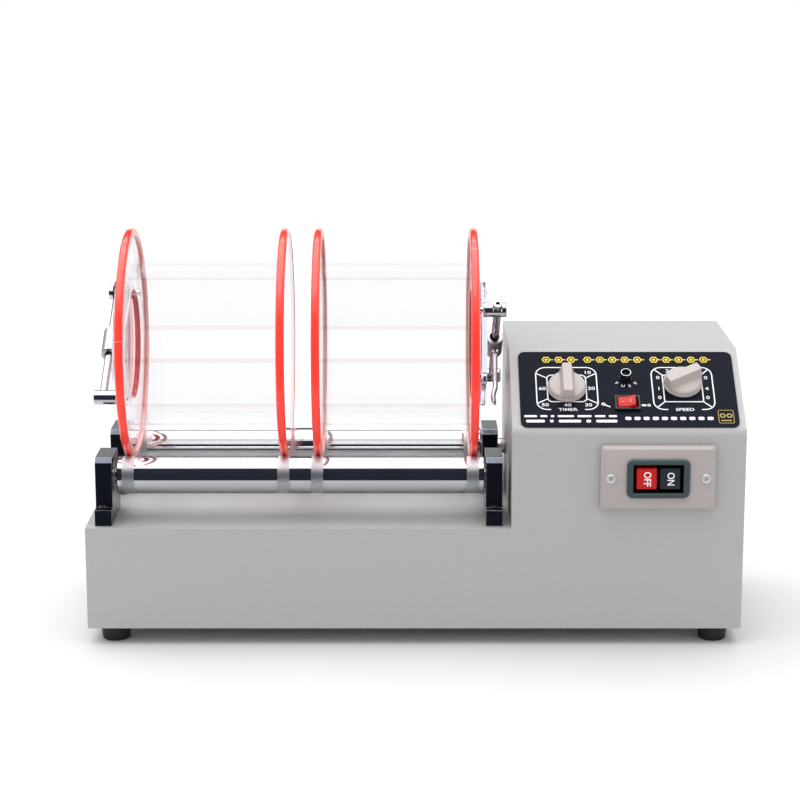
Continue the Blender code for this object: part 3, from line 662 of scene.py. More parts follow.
def make_housing():
    """The folded shell, its rear cover and bottom plate, and the screws that hold them."""
    shell = cad_form("base_housing")
    crease = [edge for edge in shell.edges if all(on_crease(vert.co) for vert in edge.verts)]
    bmesh.ops.bevel(shell, geom=crease, offset=CREASE_FOLD * MM, segments=6, profile=0.5, affect="EDGES")
    bevel_sharp(shell, FOLD * MM, 3, shortest=60 * MM)
    piece("housing_shell", shell, None, ["paint"], "housing", ["base_housing"], weighted=True)
    detailed("rear_cover", 0.25, ["paint"], "housing", 1)
    detailed("bottom_plate", 0.3, ["paint"], "housing", 1)
    middle = (LENGTH + BOX_X) / 2
    spots = [(x, z) for x in (BOX_X + 6.5, LENGTH - 6.5) for z in (21.5, 131, 240.5)]
    spots += [(middle, z) for z in (21.5, 240.5)]
    for number, (x, z) in enumerate(spots):
        screw_head(f"rear_screw_{number}", rear_face(x, z), 2.9, 1.9, "housing")
    for number, x in enumerate((60, 190, 320, 420, 510)):
        for row, y in enumerate((9, DEPTH - 9)):
            place = facing(housing(x, y, 15), (0, 0, -1), (1, 0, 0))
            screw_head(f"base_screw_{number}_{row}", place, 2.7, 1.7, "housing")


def make_foot(depth_name, side):
    """A tapered rubber foot with a rolled lower edge and a steel washer and screw up inside its hollow."""
    node = f"foot_{depth_name}_{side}"
    low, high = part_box(node)
    top = (high.z - low.z) / MM
    profile = [(4.2, 3.5), (4.2, 0.6)] + arc((5.0, 0.8), 0.8, 180, 270, 4) + [(10.6, 0.0)]
    profile += arc((10.6, 1.4), 1.4, -90, -8, 6) + [(13.3, top - 0.6), (12.9, top), (4.2, top), (4.2, 6)]
    centre = Vector(((low.x + high.x) / 2, (low.y + high.y) / 2, 0))
    place = Matrix.Translation(centre)
    rubber = revolve(bmesh.new(), profile, 64)
    piece(f"{node}_rubber", rubber, place, ["rubber"], "housing", [node])
    washer = revolve(bmesh.new(), [(0, 3.2), (4.1, 3.2), (4.1, 4.4), (0, 4.4)], 32)
    piece(f"{node}_washer", washer, place, ["steel"], "housing")
    under = facing(centre + Vector((0, 0, 3.2 * MM)), (0, 0, -1), (1, 0, 0))
    screw_head(f"{node}_screw", under, 3.2, 2.0, "housing")


# ---- rollers and their blocks ----


def make_block(depth_name, side):
    """A pillow block whose rounded edges and up-sloping shoulders take a lighter metal as painted highlight,
    and a cap screw on each ledge of its foot.
    """
    node = f"bearing_block_{depth_name}_{side}"
    low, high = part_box(node)
    form = bevel_sharp(cad_form(node), 0.55 * MM, 2, angle=38.0, slot=1)
    for face in form.faces:
        # faces that slope up to the front or back take the lighter shoulder metal: painted sheen where the
        # light falls
        if abs(face.normal.y) > 0.5 and face.normal.z > 0.5 and face.calc_area() > 2e-5:
            face.material_index = 2
    materials = ["anodised", "painted_edge_highlight", "shoulder"]
    piece(f"{node}_milled", form, None, materials, "housing", [node], weighted=True)
    ledge = 13.8 * MM
    for way, y in (("front", low.y + 5.2 * MM), ("rear", high.y - 5.2 * MM)):
        place = Matrix.Translation(((low.x + high.x) / 2, y, low.z + ledge))
        screw_head(f"{node}_{way}_screw", place, 4.1, 3.6, "housing", "hexagon", "black")


def make_bearing(depth_name, side):
    """A ball bearing: the outer race and shield stay in the block, the inner race turns with the journal."""
    node = f"ball_bearing_{depth_name}_{side}"
    low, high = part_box(node)
    middle = (low + high) / 2
    inward = 1 if side == "left" else -1
    width = (high.x - low.x) / MM
    place = facing((low.x if side == "left" else high.x, middle.y, middle.z), (inward, 0, 0), (0, 1, 0))
    edge = 0.5
    outer = [(10.9, 0), (12.8 - edge, 0), (12.8, edge), (12.8, width - edge), (12.8 - edge, width),
             (10.9, width), (10.9, width - 0.7), (8.9, width - 0.7), (8.9, width - 1.1), (10.9, width - 1.1)]
    race = revolve(bmesh.new(), outer, 72)
    piece(f"{node}_outer_race", race, place, ["steel"], "housing", [node])
    inner = [(6.85, 0), (8.5, 0), (8.5, width - 0.25), (8.25, width), (7.1, width), (6.85, width - 0.25)]
    body = f"{depth_name}_roller"
    piece(f"{node}_inner_race", revolve(bmesh.new(), inner, 64), place, ["steel"], body)


def knurled_band(middle, radius, width, ridges=52, rows=10, depth=0.5):
    """A diamond knurl round Z, with a smooth wall at each edge."""
    half = width / 2
    count = ridges * 2
    rings = []
    for row in range(rows + 1):
        z = middle + (-half + width * row / rows)
        lean = row * math.pi / 2
        ring = []
        for i in range(count):
            turn = math.pi * i / ridges
            waves = math.cos(ridges * turn + lean) + math.cos(ridges * turn - lean)
            r = radius - depth + depth * (0.5 + 0.25 * waves)
            ring.append((r * math.cos(turn), r * math.sin(turn), z))
        rings.append(ring)
    first, last = [at_height(circle(radius - 0.6, count), middle + z) for z in (-half - 0.05, half + 0.05)]
    return loft(bmesh.new(), [first] + rings + [last])


def make_roller(depth_name):
    """A chromed shaft with a groove each side of every knurled band, and a centre hole in its end."""
    node = f"{depth_name}_roller"
    low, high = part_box(node)
    joint = JOINTS[f"{depth_name}_roller_spin"]["pos_m"]
    place = facing((0, joint[1], joint[2]), (1, 0, 0), (0, 1, 0))
    start, end = [(x * MM + HOUSING_LOW.x) / MM for x in ROLLER_SPAN]
    first, last = low.x / MM, high.x / MM
    groove = 0.55
    profile = [(0, first + 2.5), (1.8, first), (JOURNAL_RADIUS - 0.8, first), (JOURNAL_RADIUS, first + 0.8)]
    profile += [(JOURNAL_RADIUS, start), (ROLLER_RADIUS - 0.8, start), (ROLLER_RADIUS, start + 0.8)]
    for x in KNURLS_X:
        low_edge, high_edge = [x + HOUSING_LOW.x / MM + way * KNURL_WIDTH / 2 for way in (-1, 1)]
        profile += [(ROLLER_RADIUS, low_edge - 0.5), (ROLLER_RADIUS - groove, low_edge - 0.35)]
        profile += [(ROLLER_RADIUS - groove, high_edge + 0.35), (ROLLER_RADIUS, high_edge + 0.5)]
    profile += [(ROLLER_RADIUS, end - 0.8), (ROLLER_RADIUS - 0.8, end), (JOURNAL_RADIUS, end)]
    profile += [(JOURNAL_RADIUS, last - 0.8), (JOURNAL_RADIUS - 0.8, last), (1.8, last), (0, last - 2.5)]
    roller = revolve(bmesh.new(), profile, 144)
    piece(f"{node}_shaft", roller, place, ["chrome"], node, [node], sharp=25.0)
    for number, x in enumerate(KNURLS_X):
        band = knurled_band(x + HOUSING_LOW.x / MM, ROLLER_RADIUS + 0.14, KNURL_WIDTH - 0.8)
        piece(f"{node}_knurl_{number}", band, place, ["knurl"], node, sharp=60.0)


# ---- drums ----


def drum_place(side):
    joint = JOINTS[f"{side}_drum_spin"]["pos_m"]
    low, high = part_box(f"{side}_barrel")
    return facing(((low.x + high.x) / 2, joint[1], joint[2]), (1, 0, 0), (0, 1, 0))


def tyre_crown(raise_by=0.0):
    """The rounded crown's section, from its inner side to its outer side, about the tyre's own middle."""
    half, corner = TYRE_WIDTH / 2, 2.7
    crown = arc((TYRE_RADIUS - corner, -half + corner), corner + raise_by, -90, 0, 8)
    crown += arc((TYRE_RADIUS - corner, half - corner), corner + raise_by, 0, 90, 8)
    return crown


def tyre_profile(way):
    """A tyre's section: a rounded crown, a seat for the flange's edge, and a lip down its inner face."""
    half = TYRE_WIDTH / 2
    seat, lip, lip_edge = FLANGE_RADIUS + 0.15, FLANGE_RADIUS - 2.6, -1.85
    section = [(lip + 0.3, -half)] + tyre_crown()
    section += [(seat, half), (seat, lip_edge), (lip + 0.3, lip_edge), (lip, lip_edge - 0.4)]
    section += [(lip, -half + 0.4)]
    middle = FACE - half
    return [(radius, way * (middle + across)) for radius, across in section]


def make_barrel(side, place, body):
    """Six sheets with mitred edges, and a bead of cement down every inner corner."""
    node = f"{side}_barrel"
    low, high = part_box(node)
    half = (high.x - low.x) / MM / 2
    outer = BARREL_FLATS / 2 / math.cos(math.pi / 6)
    inner = (BARREL_FLATS / 2 - BARREL_WALL) / math.cos(math.pi / 6)
    barrel = frame_prism(bmesh.new(), circle(outer, 6), circle(inner, 6), -half, half)
    bevel_sharp(barrel, 0.35, 2)
    piece(f"{node}_sheets", barrel, place, ["acrylic"], body, [node], weighted=True)
    beads = bmesh.new()
    # from the corner inwards, and how far the bead reaches along each wall
    section = [(0.1, 0.0), (1.3, 2.0), (2.0, 0.9), (2.2, 0.0), (2.0, -0.9), (1.3, -2.0)]
    for number in range(6):
        turn = Matrix.Rotation(math.pi * number / 3, 3, "Z")
        outline = [(turn @ Vector((inner - depth, across, 0))).to_2d() for depth, across in section]
        prism(beads, outline, -half + 0.2, half - 0.2)
    piece(f"{node}_beads", beads, place, ["bond"], body)


def make_flange(side, kind, way, place, body):
    node = f"{side}_{kind}_flange"
    if kind == "door":
        detailed(node, 0.35, ["acrylic_flange"], body, 2)
        return
    seat = FACE - 0.3 - FLANGE_THICKNESS
    low, high = sorted((way * seat, way * (seat + FLANGE_THICKNESS)))
    disc = edged_disc(FLANGE_RADIUS, low, high, 0.4, 160)
    piece(f"{node}_disc", disc, place, ["acrylic_flange"], body, [node])


def make_tyre(side, kind, way, place, body):
    """A red tyre, paler in the lip that light comes through, with its bonded joint."""
    node = f"{side}_{kind}_tyre"
    tyre = revolve(bmesh.new(), tyre_profile(way), 192)
    for face in tyre.faces:
        if face.calc_center_median().xy.length < FLANGE_RADIUS:
            face.material_index = 1
    materials = ["silicone", "silicone_lip"]
    piece(f"{node}_ring", tyre, place, materials, body, [node], sharp=50.0)
    make_tyre_seam(f"{node}_seam", place, way, body, SEAM_TURNS.get((side, way), HIDDEN_SEAM_TURN))


def make_drum(side):
    place = drum_place(side)
    body = f"{side}_drum"
    door = DOOR_SIDE[side]
    make_barrel(side, place, body)
    for kind, way in (("door", door), ("plain", -door)):
        make_flange(side, kind, way, place, body)
        make_tyre(side, kind, way, place, body)
    make_lid(side, place, body)
    make_posts(side)
    make_bar(side)
    make_cam(side)


def make_tyre_seam(name, place, way, body, degrees):
    """The bonded joint across a tyre's crown, a hair proud of it."""
    crown = tyre_crown(0.06)
    under = [(radial - 0.5, across * 0.9) for radial, across in reversed(crown)]
    start = math.radians(180 + degrees)
    half_width = 0.0022
    loops = []
    for turn in (start - half_width, start + half_width):
        loop = []
        for radial, across in crown + under:
            z = way * (FACE - TYRE_WIDTH / 2 + across)
            loop.append((radial * math.cos(turn), radial * math.sin(turn), z))
        loops.append(loop)
    piece(name, loft(bmesh.new(), loops), place, ["seam"], body)


def make_lid(side, place, body):
    """The gasket's disc and the clear lid over it."""
    for node, edge, material, slot in (
        (f"{side}_lid_gasket", 0.5, "silicone_thin", "red_silicone"),
        (f"{side}_lid", 0.7, "acrylic_lid", "clear_acrylic"),
    ):
        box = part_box(node)
        low, high = sorted((corner.x - place.translation.x) / MM for corner in box)
        radius = (box[1].z - box[0].z) / MM / 2
        disc = edged_disc(radius, low, high, edge, 128)
        piece(f"{node}_disc", disc, place, [material], body, [node])


def clamp_axes(side):
    """Where a clamp's pivot and cam are, the way from one to the other, and the way out of the lid."""
    pivot = Vector(JOINTS[f"{side}_clamp_swing"]["pos_m"])
    cam_at = Vector(JOINTS[f"{side}_cam_turn"]["pos_m"])
    return pivot, cam_at, (cam_at - pivot).normalized(), Vector((DOOR_SIDE[side], 0, 0))


def make_posts(side):
    """A turned pivot post, and a latch post with a slot for the bar."""
    pivot, cam_at, along, outward = clamp_axes(side)
    foot, top = [height - BAR_HEIGHT for height in POST_SPAN]
    stud = -FLANGE_THICKNESS + 0.3 - BAR_HEIGHT
    edge = 0.9
    profile = [(0, stud), (STUD_RADIUS, stud), (STUD_RADIUS, foot), (POST_RADIUS - edge, foot)]
    profile += arc((POST_RADIUS - edge, foot + edge), edge, -90, 0, 4)
    profile += arc((POST_RADIUS - edge, top - edge), edge, 0, 90, 4)
    profile += [(1.6, top), (0, top - 1.0)]
    posts = (
        ("pivot", facing(pivot, outward, along), f"{side}_clamp"),
        ("latch", facing(cam_at + (cam_at - pivot), outward, along), f"{side}_drum"),
    )
    for kind, place, body in posts:
        post = piece(f"{side}_{kind}_post_turned", revolve(bmesh.new(), profile, 72), place, ["chrome"], body,
                     [f"{side}_{kind}_post"], sharp=25.0)
        if kind == "latch":
            # the slot opens on the side that the bar leaves by
            half, past = BAR_RADIUS + 0.6, 10
            mouth = [(-past, -past), (past, -past), (past, half), (-past, half)]
            carve(post, prism(bmesh.new(), mouth, -half, half), place)
    for kind, place, body in posts:
        # the stud's end, flush in the flange, shows as a small slotted screw
        flush = place @ Matrix.Translation((0, 0, (stud + 0.05) * MM)) @ Matrix.Rotation(math.pi, 4, "X")
        end = revolve(bmesh.new(), [(0, -0.6), (2.1, -0.6), (2.1, 0), (1.9, 0.15), (0, 0.15)], 32)
        stud_end = piece(f"{side}_{kind}_stud_end", end, flush, ["steel"], body)
        carve(stud_end, prism(bmesh.new(), rounded(3.4, 0.6, 0.2), -0.2, 1), flush)


def make_bar(side):
    """The bar from post to post, with a socket cap head past the latch post."""
    pivot, _, along, outward = clamp_axes(side)
    place = facing(pivot, along, outward)
    head = 2 * POST_REACH + POST_RADIUS + 0.3
    tip = head + 5.5
    profile = [(0, -4.5), (BAR_RADIUS, -4.5), (BAR_RADIUS, head), (3.8, head), (4.2, head + 0.4)]
    profile += [(4.2, tip - 0.8)] + arc((3.4, tip - 0.8), 0.8, 0, 90, 4) + [(0, tip)]
    rod = piece(f"{side}_clamp_rod", revolve(bmesh.new(), profile, 64), place, ["chrome"], f"{side}_clamp",
                [f"{side}_clamp_bar"], sharp=25.0)
    carve(rod, prism(bmesh.new(), circle(2.3, 6), tip - 3, tip + 1), place)


def make_cam(side):
    """A cam a little off the bar's axis, so that a turn presses the lid, and the lever that turns it."""
    _, cam_at, along, outward = clamp_axes(side)
    body = f"{side}_cam"
    half, edge = CAM_LENGTH / 2, 0.6
    ring = [(4.4, -half), (CAM_RADIUS - edge, -half), (CAM_RADIUS, -half + edge), (CAM_RADIUS, half - edge),
            (CAM_RADIUS - edge, half), (4.4, half)]
    place = facing(cam_at, along, outward) @ Matrix.Translation((-CAM_OFFSET * MM, 0, 0))
    piece(f"{side}_cam_barrel", revolve(bmesh.new(), ring, 80), place, ["satin_steel"], body,
          [f"{side}_clamp_cam"], sharp=25.0)

    place = facing(cam_at, outward, along)
    path, radii = [], []
    bent = 17
    steps = 26
    for i in range(steps + 1):
        reach = CAM_RADIUS - 0.6 + (LEVER_LENGTH - CAM_RADIUS) * i / steps
        bend = max(0.0, (reach - (LEVER_LENGTH - bent)) / bent)
        path.append((0, reach, -2.0 * math.sin(math.pi * bend)))
        from_tip = min(1.0, (steps - i) / 2.0)
        rounding = math.sqrt(max(0.04, 1 - (1 - from_tip) ** 2))
        radii.append(LEVER_RADIUS * min(1.0, rounding) * (1 - 0.12 * bend))
    piece(f"{side}_lever_rod", sweep(bmesh.new(), path, radii, 28), place, ["chrome"], body,
          [f"{side}_cam_lever"], sharp=45.0)
    collar = revolve(bmesh.new(), [(0, 5.2), (3.7, 5.2), (3.7, 9.2), (3.1, 9.8), (0, 9.8)], 40)
    lever_axis = facing(cam_at, place.to_3x3() @ Vector((0, 1, 0)), along)
    piece(f"{side}_lever_collar", collar, lever_axis, ["chrome"], body)


# ---- control panel ----

INK_LOW, INK_HIGH = -0.05, 0.06
TITLE_Y = 82.4


def ink_frame(form, width, height, radius, line, gap=None):
    """A rounded frame of ink, left open along its lower side where a caption stands."""
    outer = rounded(width + line, height + line, radius + line / 2)
    inner = rounded(width - line, height - line, radius - line / 2)
    if gap is None:
        frame_prism(form, outer, inner, INK_LOW, INK_HIGH)
        return
    count = len(outer)
    for i in range(count):
        j = (i + 1) % count
        ends = [(outer[i], inner[i]), (outer[j], inner[j])]
        bottom = outer[i][1] < 0 and outer[j][1] < 0 and abs(outer[i][0] - outer[j][0]) > gap
        if not bottom:
            prism(form, [ends[0][0], ends[1][0], ends[1][1], ends[0][1]], INK_LOW, INK_HIGH)
            continue
        for far, near in ends:
            stop = math.copysign(gap / 2, far[0])
            prism(form, [far, (stop, far[1]), (stop, near[1]), near], INK_LOW, INK_HIGH)


def make_dial(name, at, corners, labels, caption):
    """A dial's printed field: two frames, a spoke in each corner, its numbers and its caption."""
    form = bmesh.new()
    line = 1.05
    ink_frame(form, 52.6, 49.4, 8.5, line, gap=29.0)
    ink_frame(form, 33.6, 31.4, corners["inner_radius"], line)
    (inner_x, inner_y), (outer_x, outer_y) = corners["spoke"]
    for x in (-1, 1):
        for y in (-1, 1):
            ribbon(form, [(x * inner_x, y * inner_y), (x * outer_x, y * outer_y)], line, INK_LOW, INK_HIGH)
    for text, x, y in labels:
        lettering(form, text, 5.0, (x, y), INK_LOW, INK_HIGH, stretch=1.3, weight=0.012)
    lettering(form, caption, 4.6, (0, -24.9), INK_LOW, INK_HIGH, stretch=1.3, weight=0.012)
    piece(name, form, on_panel(*at), ["white_ink"], "housing")


def make_panel():
    """The panel's plate and its two dials."""
    # the plate's rounded rims take the lighter edge metal: painted highlight along them
    detailed("panel_plate", 0.22, ["panel", "painted_edge_highlight"], "housing", 1, edge_slot=1)
    timer_labels = [("10", 18.7, 18.6), ("20", 21.2, -0.2), ("30", 17.8, -19.5), ("40", 0, -19.6),
                    ("50", -19.4, -19.4), ("60", -21.2, -0.4)]
    make_dial("timer_dial", TIMER_AT, {"inner_radius": 4.2, "spoke": ((16.8, 12.2), (26.0, 17.6))},
              timer_labels, "TIMER")
    speed_labels = [("0", -20.8, 12.5), ("1", -20.8, -0.3), ("0", -20.7, -10.9), ("2", -12.1, 20.6),
                    ("3", 12.1, 20.6), ("0", 20.8, 12.3), ("4", 20.8, -0.5), ("0", 20.8, -11.0)]
    make_dial("speed_dial", SPEED_DIAL_AT, {"inner_radius": 1.6, "spoke": ((16.4, 15.4), (23.4, 22.2))},
              speed_labels, "SPEED")


def make_title():
    """A row of small barrels, seen end on, in three groups."""
    title = bmesh.new()
    for number in range(13):
        x = 399.0 + number * 10.9 + (0, 3.5, 7.0)[(number > 2) + (number > 7)]
        at = (x, TITLE_Y)
        frame_prism(title, circle(3.9, 6, at), circle(2.8, 6, at), INK_LOW, INK_HIGH)
        prism(title, circle(1.5, 6, at), INK_LOW, INK_HIGH)
        ribbon(title, [(x + 3.9, TITLE_Y), (x + 6.0, TITLE_Y)], 1.0, INK_LOW, INK_HIGH)
    piece("panel_title", title, on_panel(0, 0), ["yellow_ink"], "housing")


def make_marks():
    """Plain bars in place of lines of words, the rocker's two marks and the fuse's caption."""
    bars = bmesh.new()
    for start, end, y, height, widths in (
        (377.5, 457.0, 16.0, 2.2, (11, 6, 3, 14, 12, 9, 7)),
        (379.0, 457.0, 10.3, 3.0, (16, 3, 19, 4, 18)),
        (464.0, 539.5, 13.4, 3.6, (5.2,) * 10),
    ):
        spare = (end - start - sum(widths)) / (len(widths) - 1)
        x = start
        for width in widths:
            prism(bars, rounded(width, height, height * 0.35, (x + width / 2, y), 3), INK_LOW, INK_HIGH)
            x += width + spare
    # the switch's two marks: a ring and tail on its left, a bar and ring on its right
    frame_prism(bars, circle(1.7, 24, (446.2, 29.9)), circle(0.8, 24, (446.2, 29.9)), INK_LOW, INK_HIGH)
    ribbon(bars, [(447.4, 29.1), (452.0, 26.6)], 1.1, INK_LOW, INK_HIGH)
    prism(bars, rounded(4.0, 2.2, 0.5, (481.0, 28.6), 3), INK_LOW, INK_HIGH)
    frame_prism(bars, circle(1.5, 24, (485.4, 28.6)), circle(0.8, 24, (485.4, 28.6)), INK_LOW, INK_HIGH)
    for letter, x, y, turn in (("F", 459.1, 54.5, -38), ("U", 464.4, 51.3, -13), ("S", 470.2, 51.2, 13),
                               ("E", 475.3, 54.5, 38)):
        lettering(bars, letter, 3.9, (x, y), INK_LOW, INK_HIGH, math.radians(turn), 1.2, 0.012)
    piece("panel_marks", bars, on_panel(0, 0), ["white_ink"], "housing")


def make_emblem():
    """A square badge: two small barrels over a bar."""
    emblem = bmesh.new()
    at = (550.5, 15.4)
    ink = rounded(13.4, 15.2, 1.2, at), rounded(12.4, 14.2, 0.7, at)
    frame_prism(emblem, *ink, INK_LOW, INK_HIGH)
    for x in (-2.9, 2.9):
        spot = (at[0] + x, at[1] + 1.2)
        frame_prism(emblem, circle(2.7, 6, spot), circle(1.6, 6, spot), INK_LOW, INK_HIGH)
    prism(emblem, rounded(9.0, 1.1, 0.4, (at[0], at[1] - 4.4), 3), INK_LOW, INK_HIGH)
    piece("panel_emblem", emblem, on_panel(0, 0), ["gold_ink"], "housing")


# A knob's grip from its foot to its top: half its width, half its length, and the height
GRIP_SECTIONS = ((7.4, 15.2, 2.6), (7.0, 15.9, 4.6), (5.9, 16.2, 7.4), (4.9, 16.2, 10.6), (4.1, 16.1, 14.9))


def make_knob(node, at, points):
    """A moulded knob: a stepped skirt, a domed top and a tapered grip, run together by soft fillets."""
    place = on_panel(*at, 0.6) @ Matrix.Rotation(points, 4, "Z")
    skirt = [(0, -5.5), (2.9, -5.5), (2.9, 0), (KNOB_RADIUS, 0), (KNOB_RADIUS, 1.9), (KNOB_RADIUS - 0.8, 2.3)]
    skirt += [(KNOB_RADIUS - 0.8, 4.2), (KNOB_RADIUS - 2.2, 5.6), (8.0, 6.8), (0, 7.0)]
    knob = build(f"{node}_moulding", revolve(bmesh.new(), skirt, 96), place, ["beige"])
    sections = []
    for half, reach, z in GRIP_SECTIONS:
        shoulder, nose = reach - half * 0.3, half * 0.86
        outline = [(half, -shoulder), (half, shoulder), (nose, reach), (-nose, reach)]
        outline += [(-half, shoulder), (-half, -shoulder), (-nose, -reach), (nose, -reach)]
        sections.append(at_height(outline, z))
    carve(knob, loft(bmesh.new(), sections), place, "UNION")
    remesh = knob.modifiers.new("moulding", "REMESH")
    remesh.mode = "VOXEL"
    remesh.voxel_size = 0.3 * MM
    smooth = knob.modifiers.new("fillets", "SMOOTH")
    smooth.factor = 0.5
    smooth.iterations = 3
    keep_shape(knob, sharp=60.0)
    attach(knob, node)
    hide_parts(node)


def make_fuse():
    """A fuse holder's rim, and its cap: a ribbed cup with a bright lip and a slot across its floor."""
    holder = [(0, -24), (4.4, -24), (4.4, 1.8), (5.9, 1.8), (5.9, 2.5), (5.5, 3.0), (0, 3.0)]
    piece("fuse_holder_rim", revolve(bmesh.new(), holder, 56), on_panel(*FUSE_AT, -1.5), ["black"], "housing",
          ["fuse_holder"])
    place = on_panel(*FUSE_AT, 1.8)
    ribs = 24
    count = ribs * 4
    loops = []
    for radius, z, deep in (
        (4.7, 0.0, 0.0), (5.0, 0.4, 0.22), (4.75, 4.6, 0.22), (4.6, 5.4, 0.0), (4.5, 5.9, 0.0),
        (4.3, 6.15, 0.0), (3.9, 6.15, 0.0), (3.6, 5.8, 0.0), (3.4, 3.2, 0.0),
    ):
        loop = []
        for i in range(count):
            turn = 2 * math.pi * i / count
            r = radius - (deep if i % 4 < 2 else 0.0)
            loop.append((r * math.cos(turn), r * math.sin(turn), z))
        loops.append(loop)
    cap = piece("fuse_cap_cup", loft(bmesh.new(), loops), place, ["black"], "fuse_cap", ["fuse_cap"],
                sharp=50.0)
    carve(cap, prism(bmesh.new(), rounded(5.8, 1.1, 0.3), 2.0, 8), place)
    lip = revolve(bmesh.new(), [(3.85, 6.1), (4.45, 6.1), (4.35, 6.2), (3.95, 6.2)], 56)
    piece("fuse_cap_lip", lip, place, ["aluminium"], "fuse_cap")


def make_rocker():
    """The rocker switch's frame, and its dished button with its two marks."""
    detailed("rocker_frame", 0.45, ["black"], "housing", 3)
    joint = Vector(JOINTS["rocker_tip"]["pos_m"])
    tilted = facing(joint, OUTWARD, (1, 0, 0)) @ Matrix.Rotation(math.radians(-12), 4, "Y")
    place = tilted @ Matrix.Rotation(math.radians(90), 4, "X")
    depth = 11.0
    top = [(7.6 * t, 2.9 + 1.45 * abs(t) ** 1.7) for t in [1 - i / 8 for i in range(17)]]
    under = [(7.5 * t, -4.7 + 1.4 * t * t) for t in [-1 + i / 6 for i in range(13)]]
    form = prism(bmesh.new(), top + under, -depth / 2, depth / 2)
    bevel_sharp(form, 0.4, 2, 25.0)
    piece("rocker_paddle", form, place, ["red"], "rocker_button", ["rocker_button"],
          sharp=40.0)
    marks = bmesh.new()
    frame_prism(marks, circle(1.5, 28, (3.9, 0)), circle(1.1, 28, (3.9, 0)), -0.3, 0.05)
    ribbon(marks, [(-5.0, 0), (-2.6, 0)], 0.5, -0.3, 0.05)
    piece("rocker_marks", marks, tilted @ Matrix.Translation((0, 0, 3.42 * MM)), ["seam"], "rocker_button")


# ---- main switch ----


def rounded_stack(layers, steps=5):
    """Rounded rectangles one above another, from rows of width, height, corner radius and Z."""
    return [at_height(rounded(width, height, radius, steps=steps), z) for width, height, radius, z in layers]


def make_station():
    """The main switch: a plate with two screws, a green bezel, and the OFF and ON buttons in it."""
    x, z = STATION_AT
    place = front_face(x, z, -0.3)
    levels = ((0, 0), (0, 5.4), (0.4, 6.0), (2.2, 7.8), (2.6, 8.0))
    casting = rounded_stack([(98 - 2 * inset, 56 - 2 * inset, 2.2, height) for inset, height in levels])
    plate = piece("switch_plate_casting", loft(bmesh.new(), casting), place, ["plate"], "housing",
                  ["switch_plate"], sharp=60.0, weighted=True)
    carve(plate, prism(bmesh.new(), rounded(50.6, 30.6, 0.5), -2, 12), place)
    for number, screw_x in enumerate(STATION_SCREWS_X):
        turn = Matrix.Rotation(math.radians((24, 48)[number]), 4, "Z")
        screw_head(f"switch_screw_{number}", front_face(screw_x, z, -8.3) @ turn, 4.1, 2.3, "housing")

    place = front_face(x, z, -8.6)
    bezel = rounded_stack((
        (50, 30, 0.5, -34), (50, 30, 0.5, 0), (54, 34, 5.6, 0), (54, 34, 5.6, 1.0), (53.5, 33.5, 5.4, 1.7),
        (52.4, 32.4, 4.9, 2.4), (50.6, 30.6, 4.2, 2.7), (46.6, 27.6, 2.4, 2.7), (45.8, 26.8, 2.0, 2.3),
        (44.6, 25.9, 1.4, 2.1), (43.4, 25.2, 0.9, 1.6), (43, 25, 0.8, 0.9), (43, 25, 0.8, -24)), steps=6)
    piece("switch_bezel_moulding", loft(bmesh.new(), bezel), place, ["green"], "housing", ["switch_bezel"],
          sharp=50.0)
    # A near-black sleeve over the bezel's inner walls: painted shade in the gap round the buttons
    shade_sleeve = rounded_stack((
        (42.9, 24.9, 0.8, -23.9), (42.9, 24.9, 0.8, 0.7), (42.1, 24.1, 0.8, 0.7), (42.1, 24.1, 0.8, -23.9)))
    piece("switch_recess_shade", loft(bmesh.new(), shade_sleeve, closed=True), place, ["shade_in_recess"], "housing")

    for node, sign, material, text, slot in (
        ("off_button", -1, "red", "OFF", "red_plastic"),
        ("on_button", 1, "slate", "ON", "black_plastic"),
    ):
        at = place @ Matrix.Translation((sign * 10 * MM, 0, 0))
        levels = ((0, -15), (0, -0.2), (0.2, 0.5), (0.7, 1.05), (1.3, 1.2), (3.2, 1.0), (5.5, 0.9))
        key = rounded_stack([(17.4 - 2 * inset, 18.5 - 2 * inset, 1.0, height) for inset, height in levels])
        piece(f"{node}_key", loft(bmesh.new(), key), at, [material], node, [node], sharp=50.0)
        letters = bmesh.new()
        lettering(letters, text, 8.6, (0.2, 0), 0.8, 1.28, math.radians(-90), 0.86, 0.012)
        piece(f"{node}_letters", letters, at, ["white_ink"], node)


# ---- drive and rear ----


def make_hidden():
    """What works inside the box, with its edges broken and its own finish."""
    for node, width, material, body, slot in (
        ("motor_bracket", 0.5, "aluminium", "housing", "aluminium"),
        ("timer_unit", 0.6, "black", "housing", "black_plastic"),
        ("speed_switch", 0.6, "black", "housing", "black_plastic"),
    ):
        detailed(node, width, [material], body)
    make_motor()
    make_pulleys()
    NODES["drive_belt"].data.materials.clear()
    NODES["drive_belt"].data.materials.append(M["belt"])


def make_motor():
    """A motor's ribbed can between two end caps."""
    low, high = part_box("motor")
    middle = (low + high) / 2
    place = facing((low.x, middle.y, middle.z), (1, 0, 0), (0, 1, 0))
    radius, length = (high.z - low.z) / MM / 2, (high.x - low.x) / MM
    profile = [(0, 0), (12, 0), (12, 4), (radius - 3, 4), (radius, 7), (radius, 14)]
    ribs = 12
    pitch = (length - 30) / ribs
    for i in range(ribs):
        x = 15 + i * pitch
        profile += [(radius - 2.2, x), (radius - 2.2, x + pitch * 0.45), (radius - 0.2, x + pitch * 0.55)]
        profile += [(radius - 0.2, x + pitch * 0.95)]
    profile += [(radius, length - 14), (radius, length - 3), (radius - 3, length), (0, length)]
    can = revolve(bmesh.new(), profile, 72)
    piece("motor_can", can, place, ["aluminium"], "housing", ["motor"])


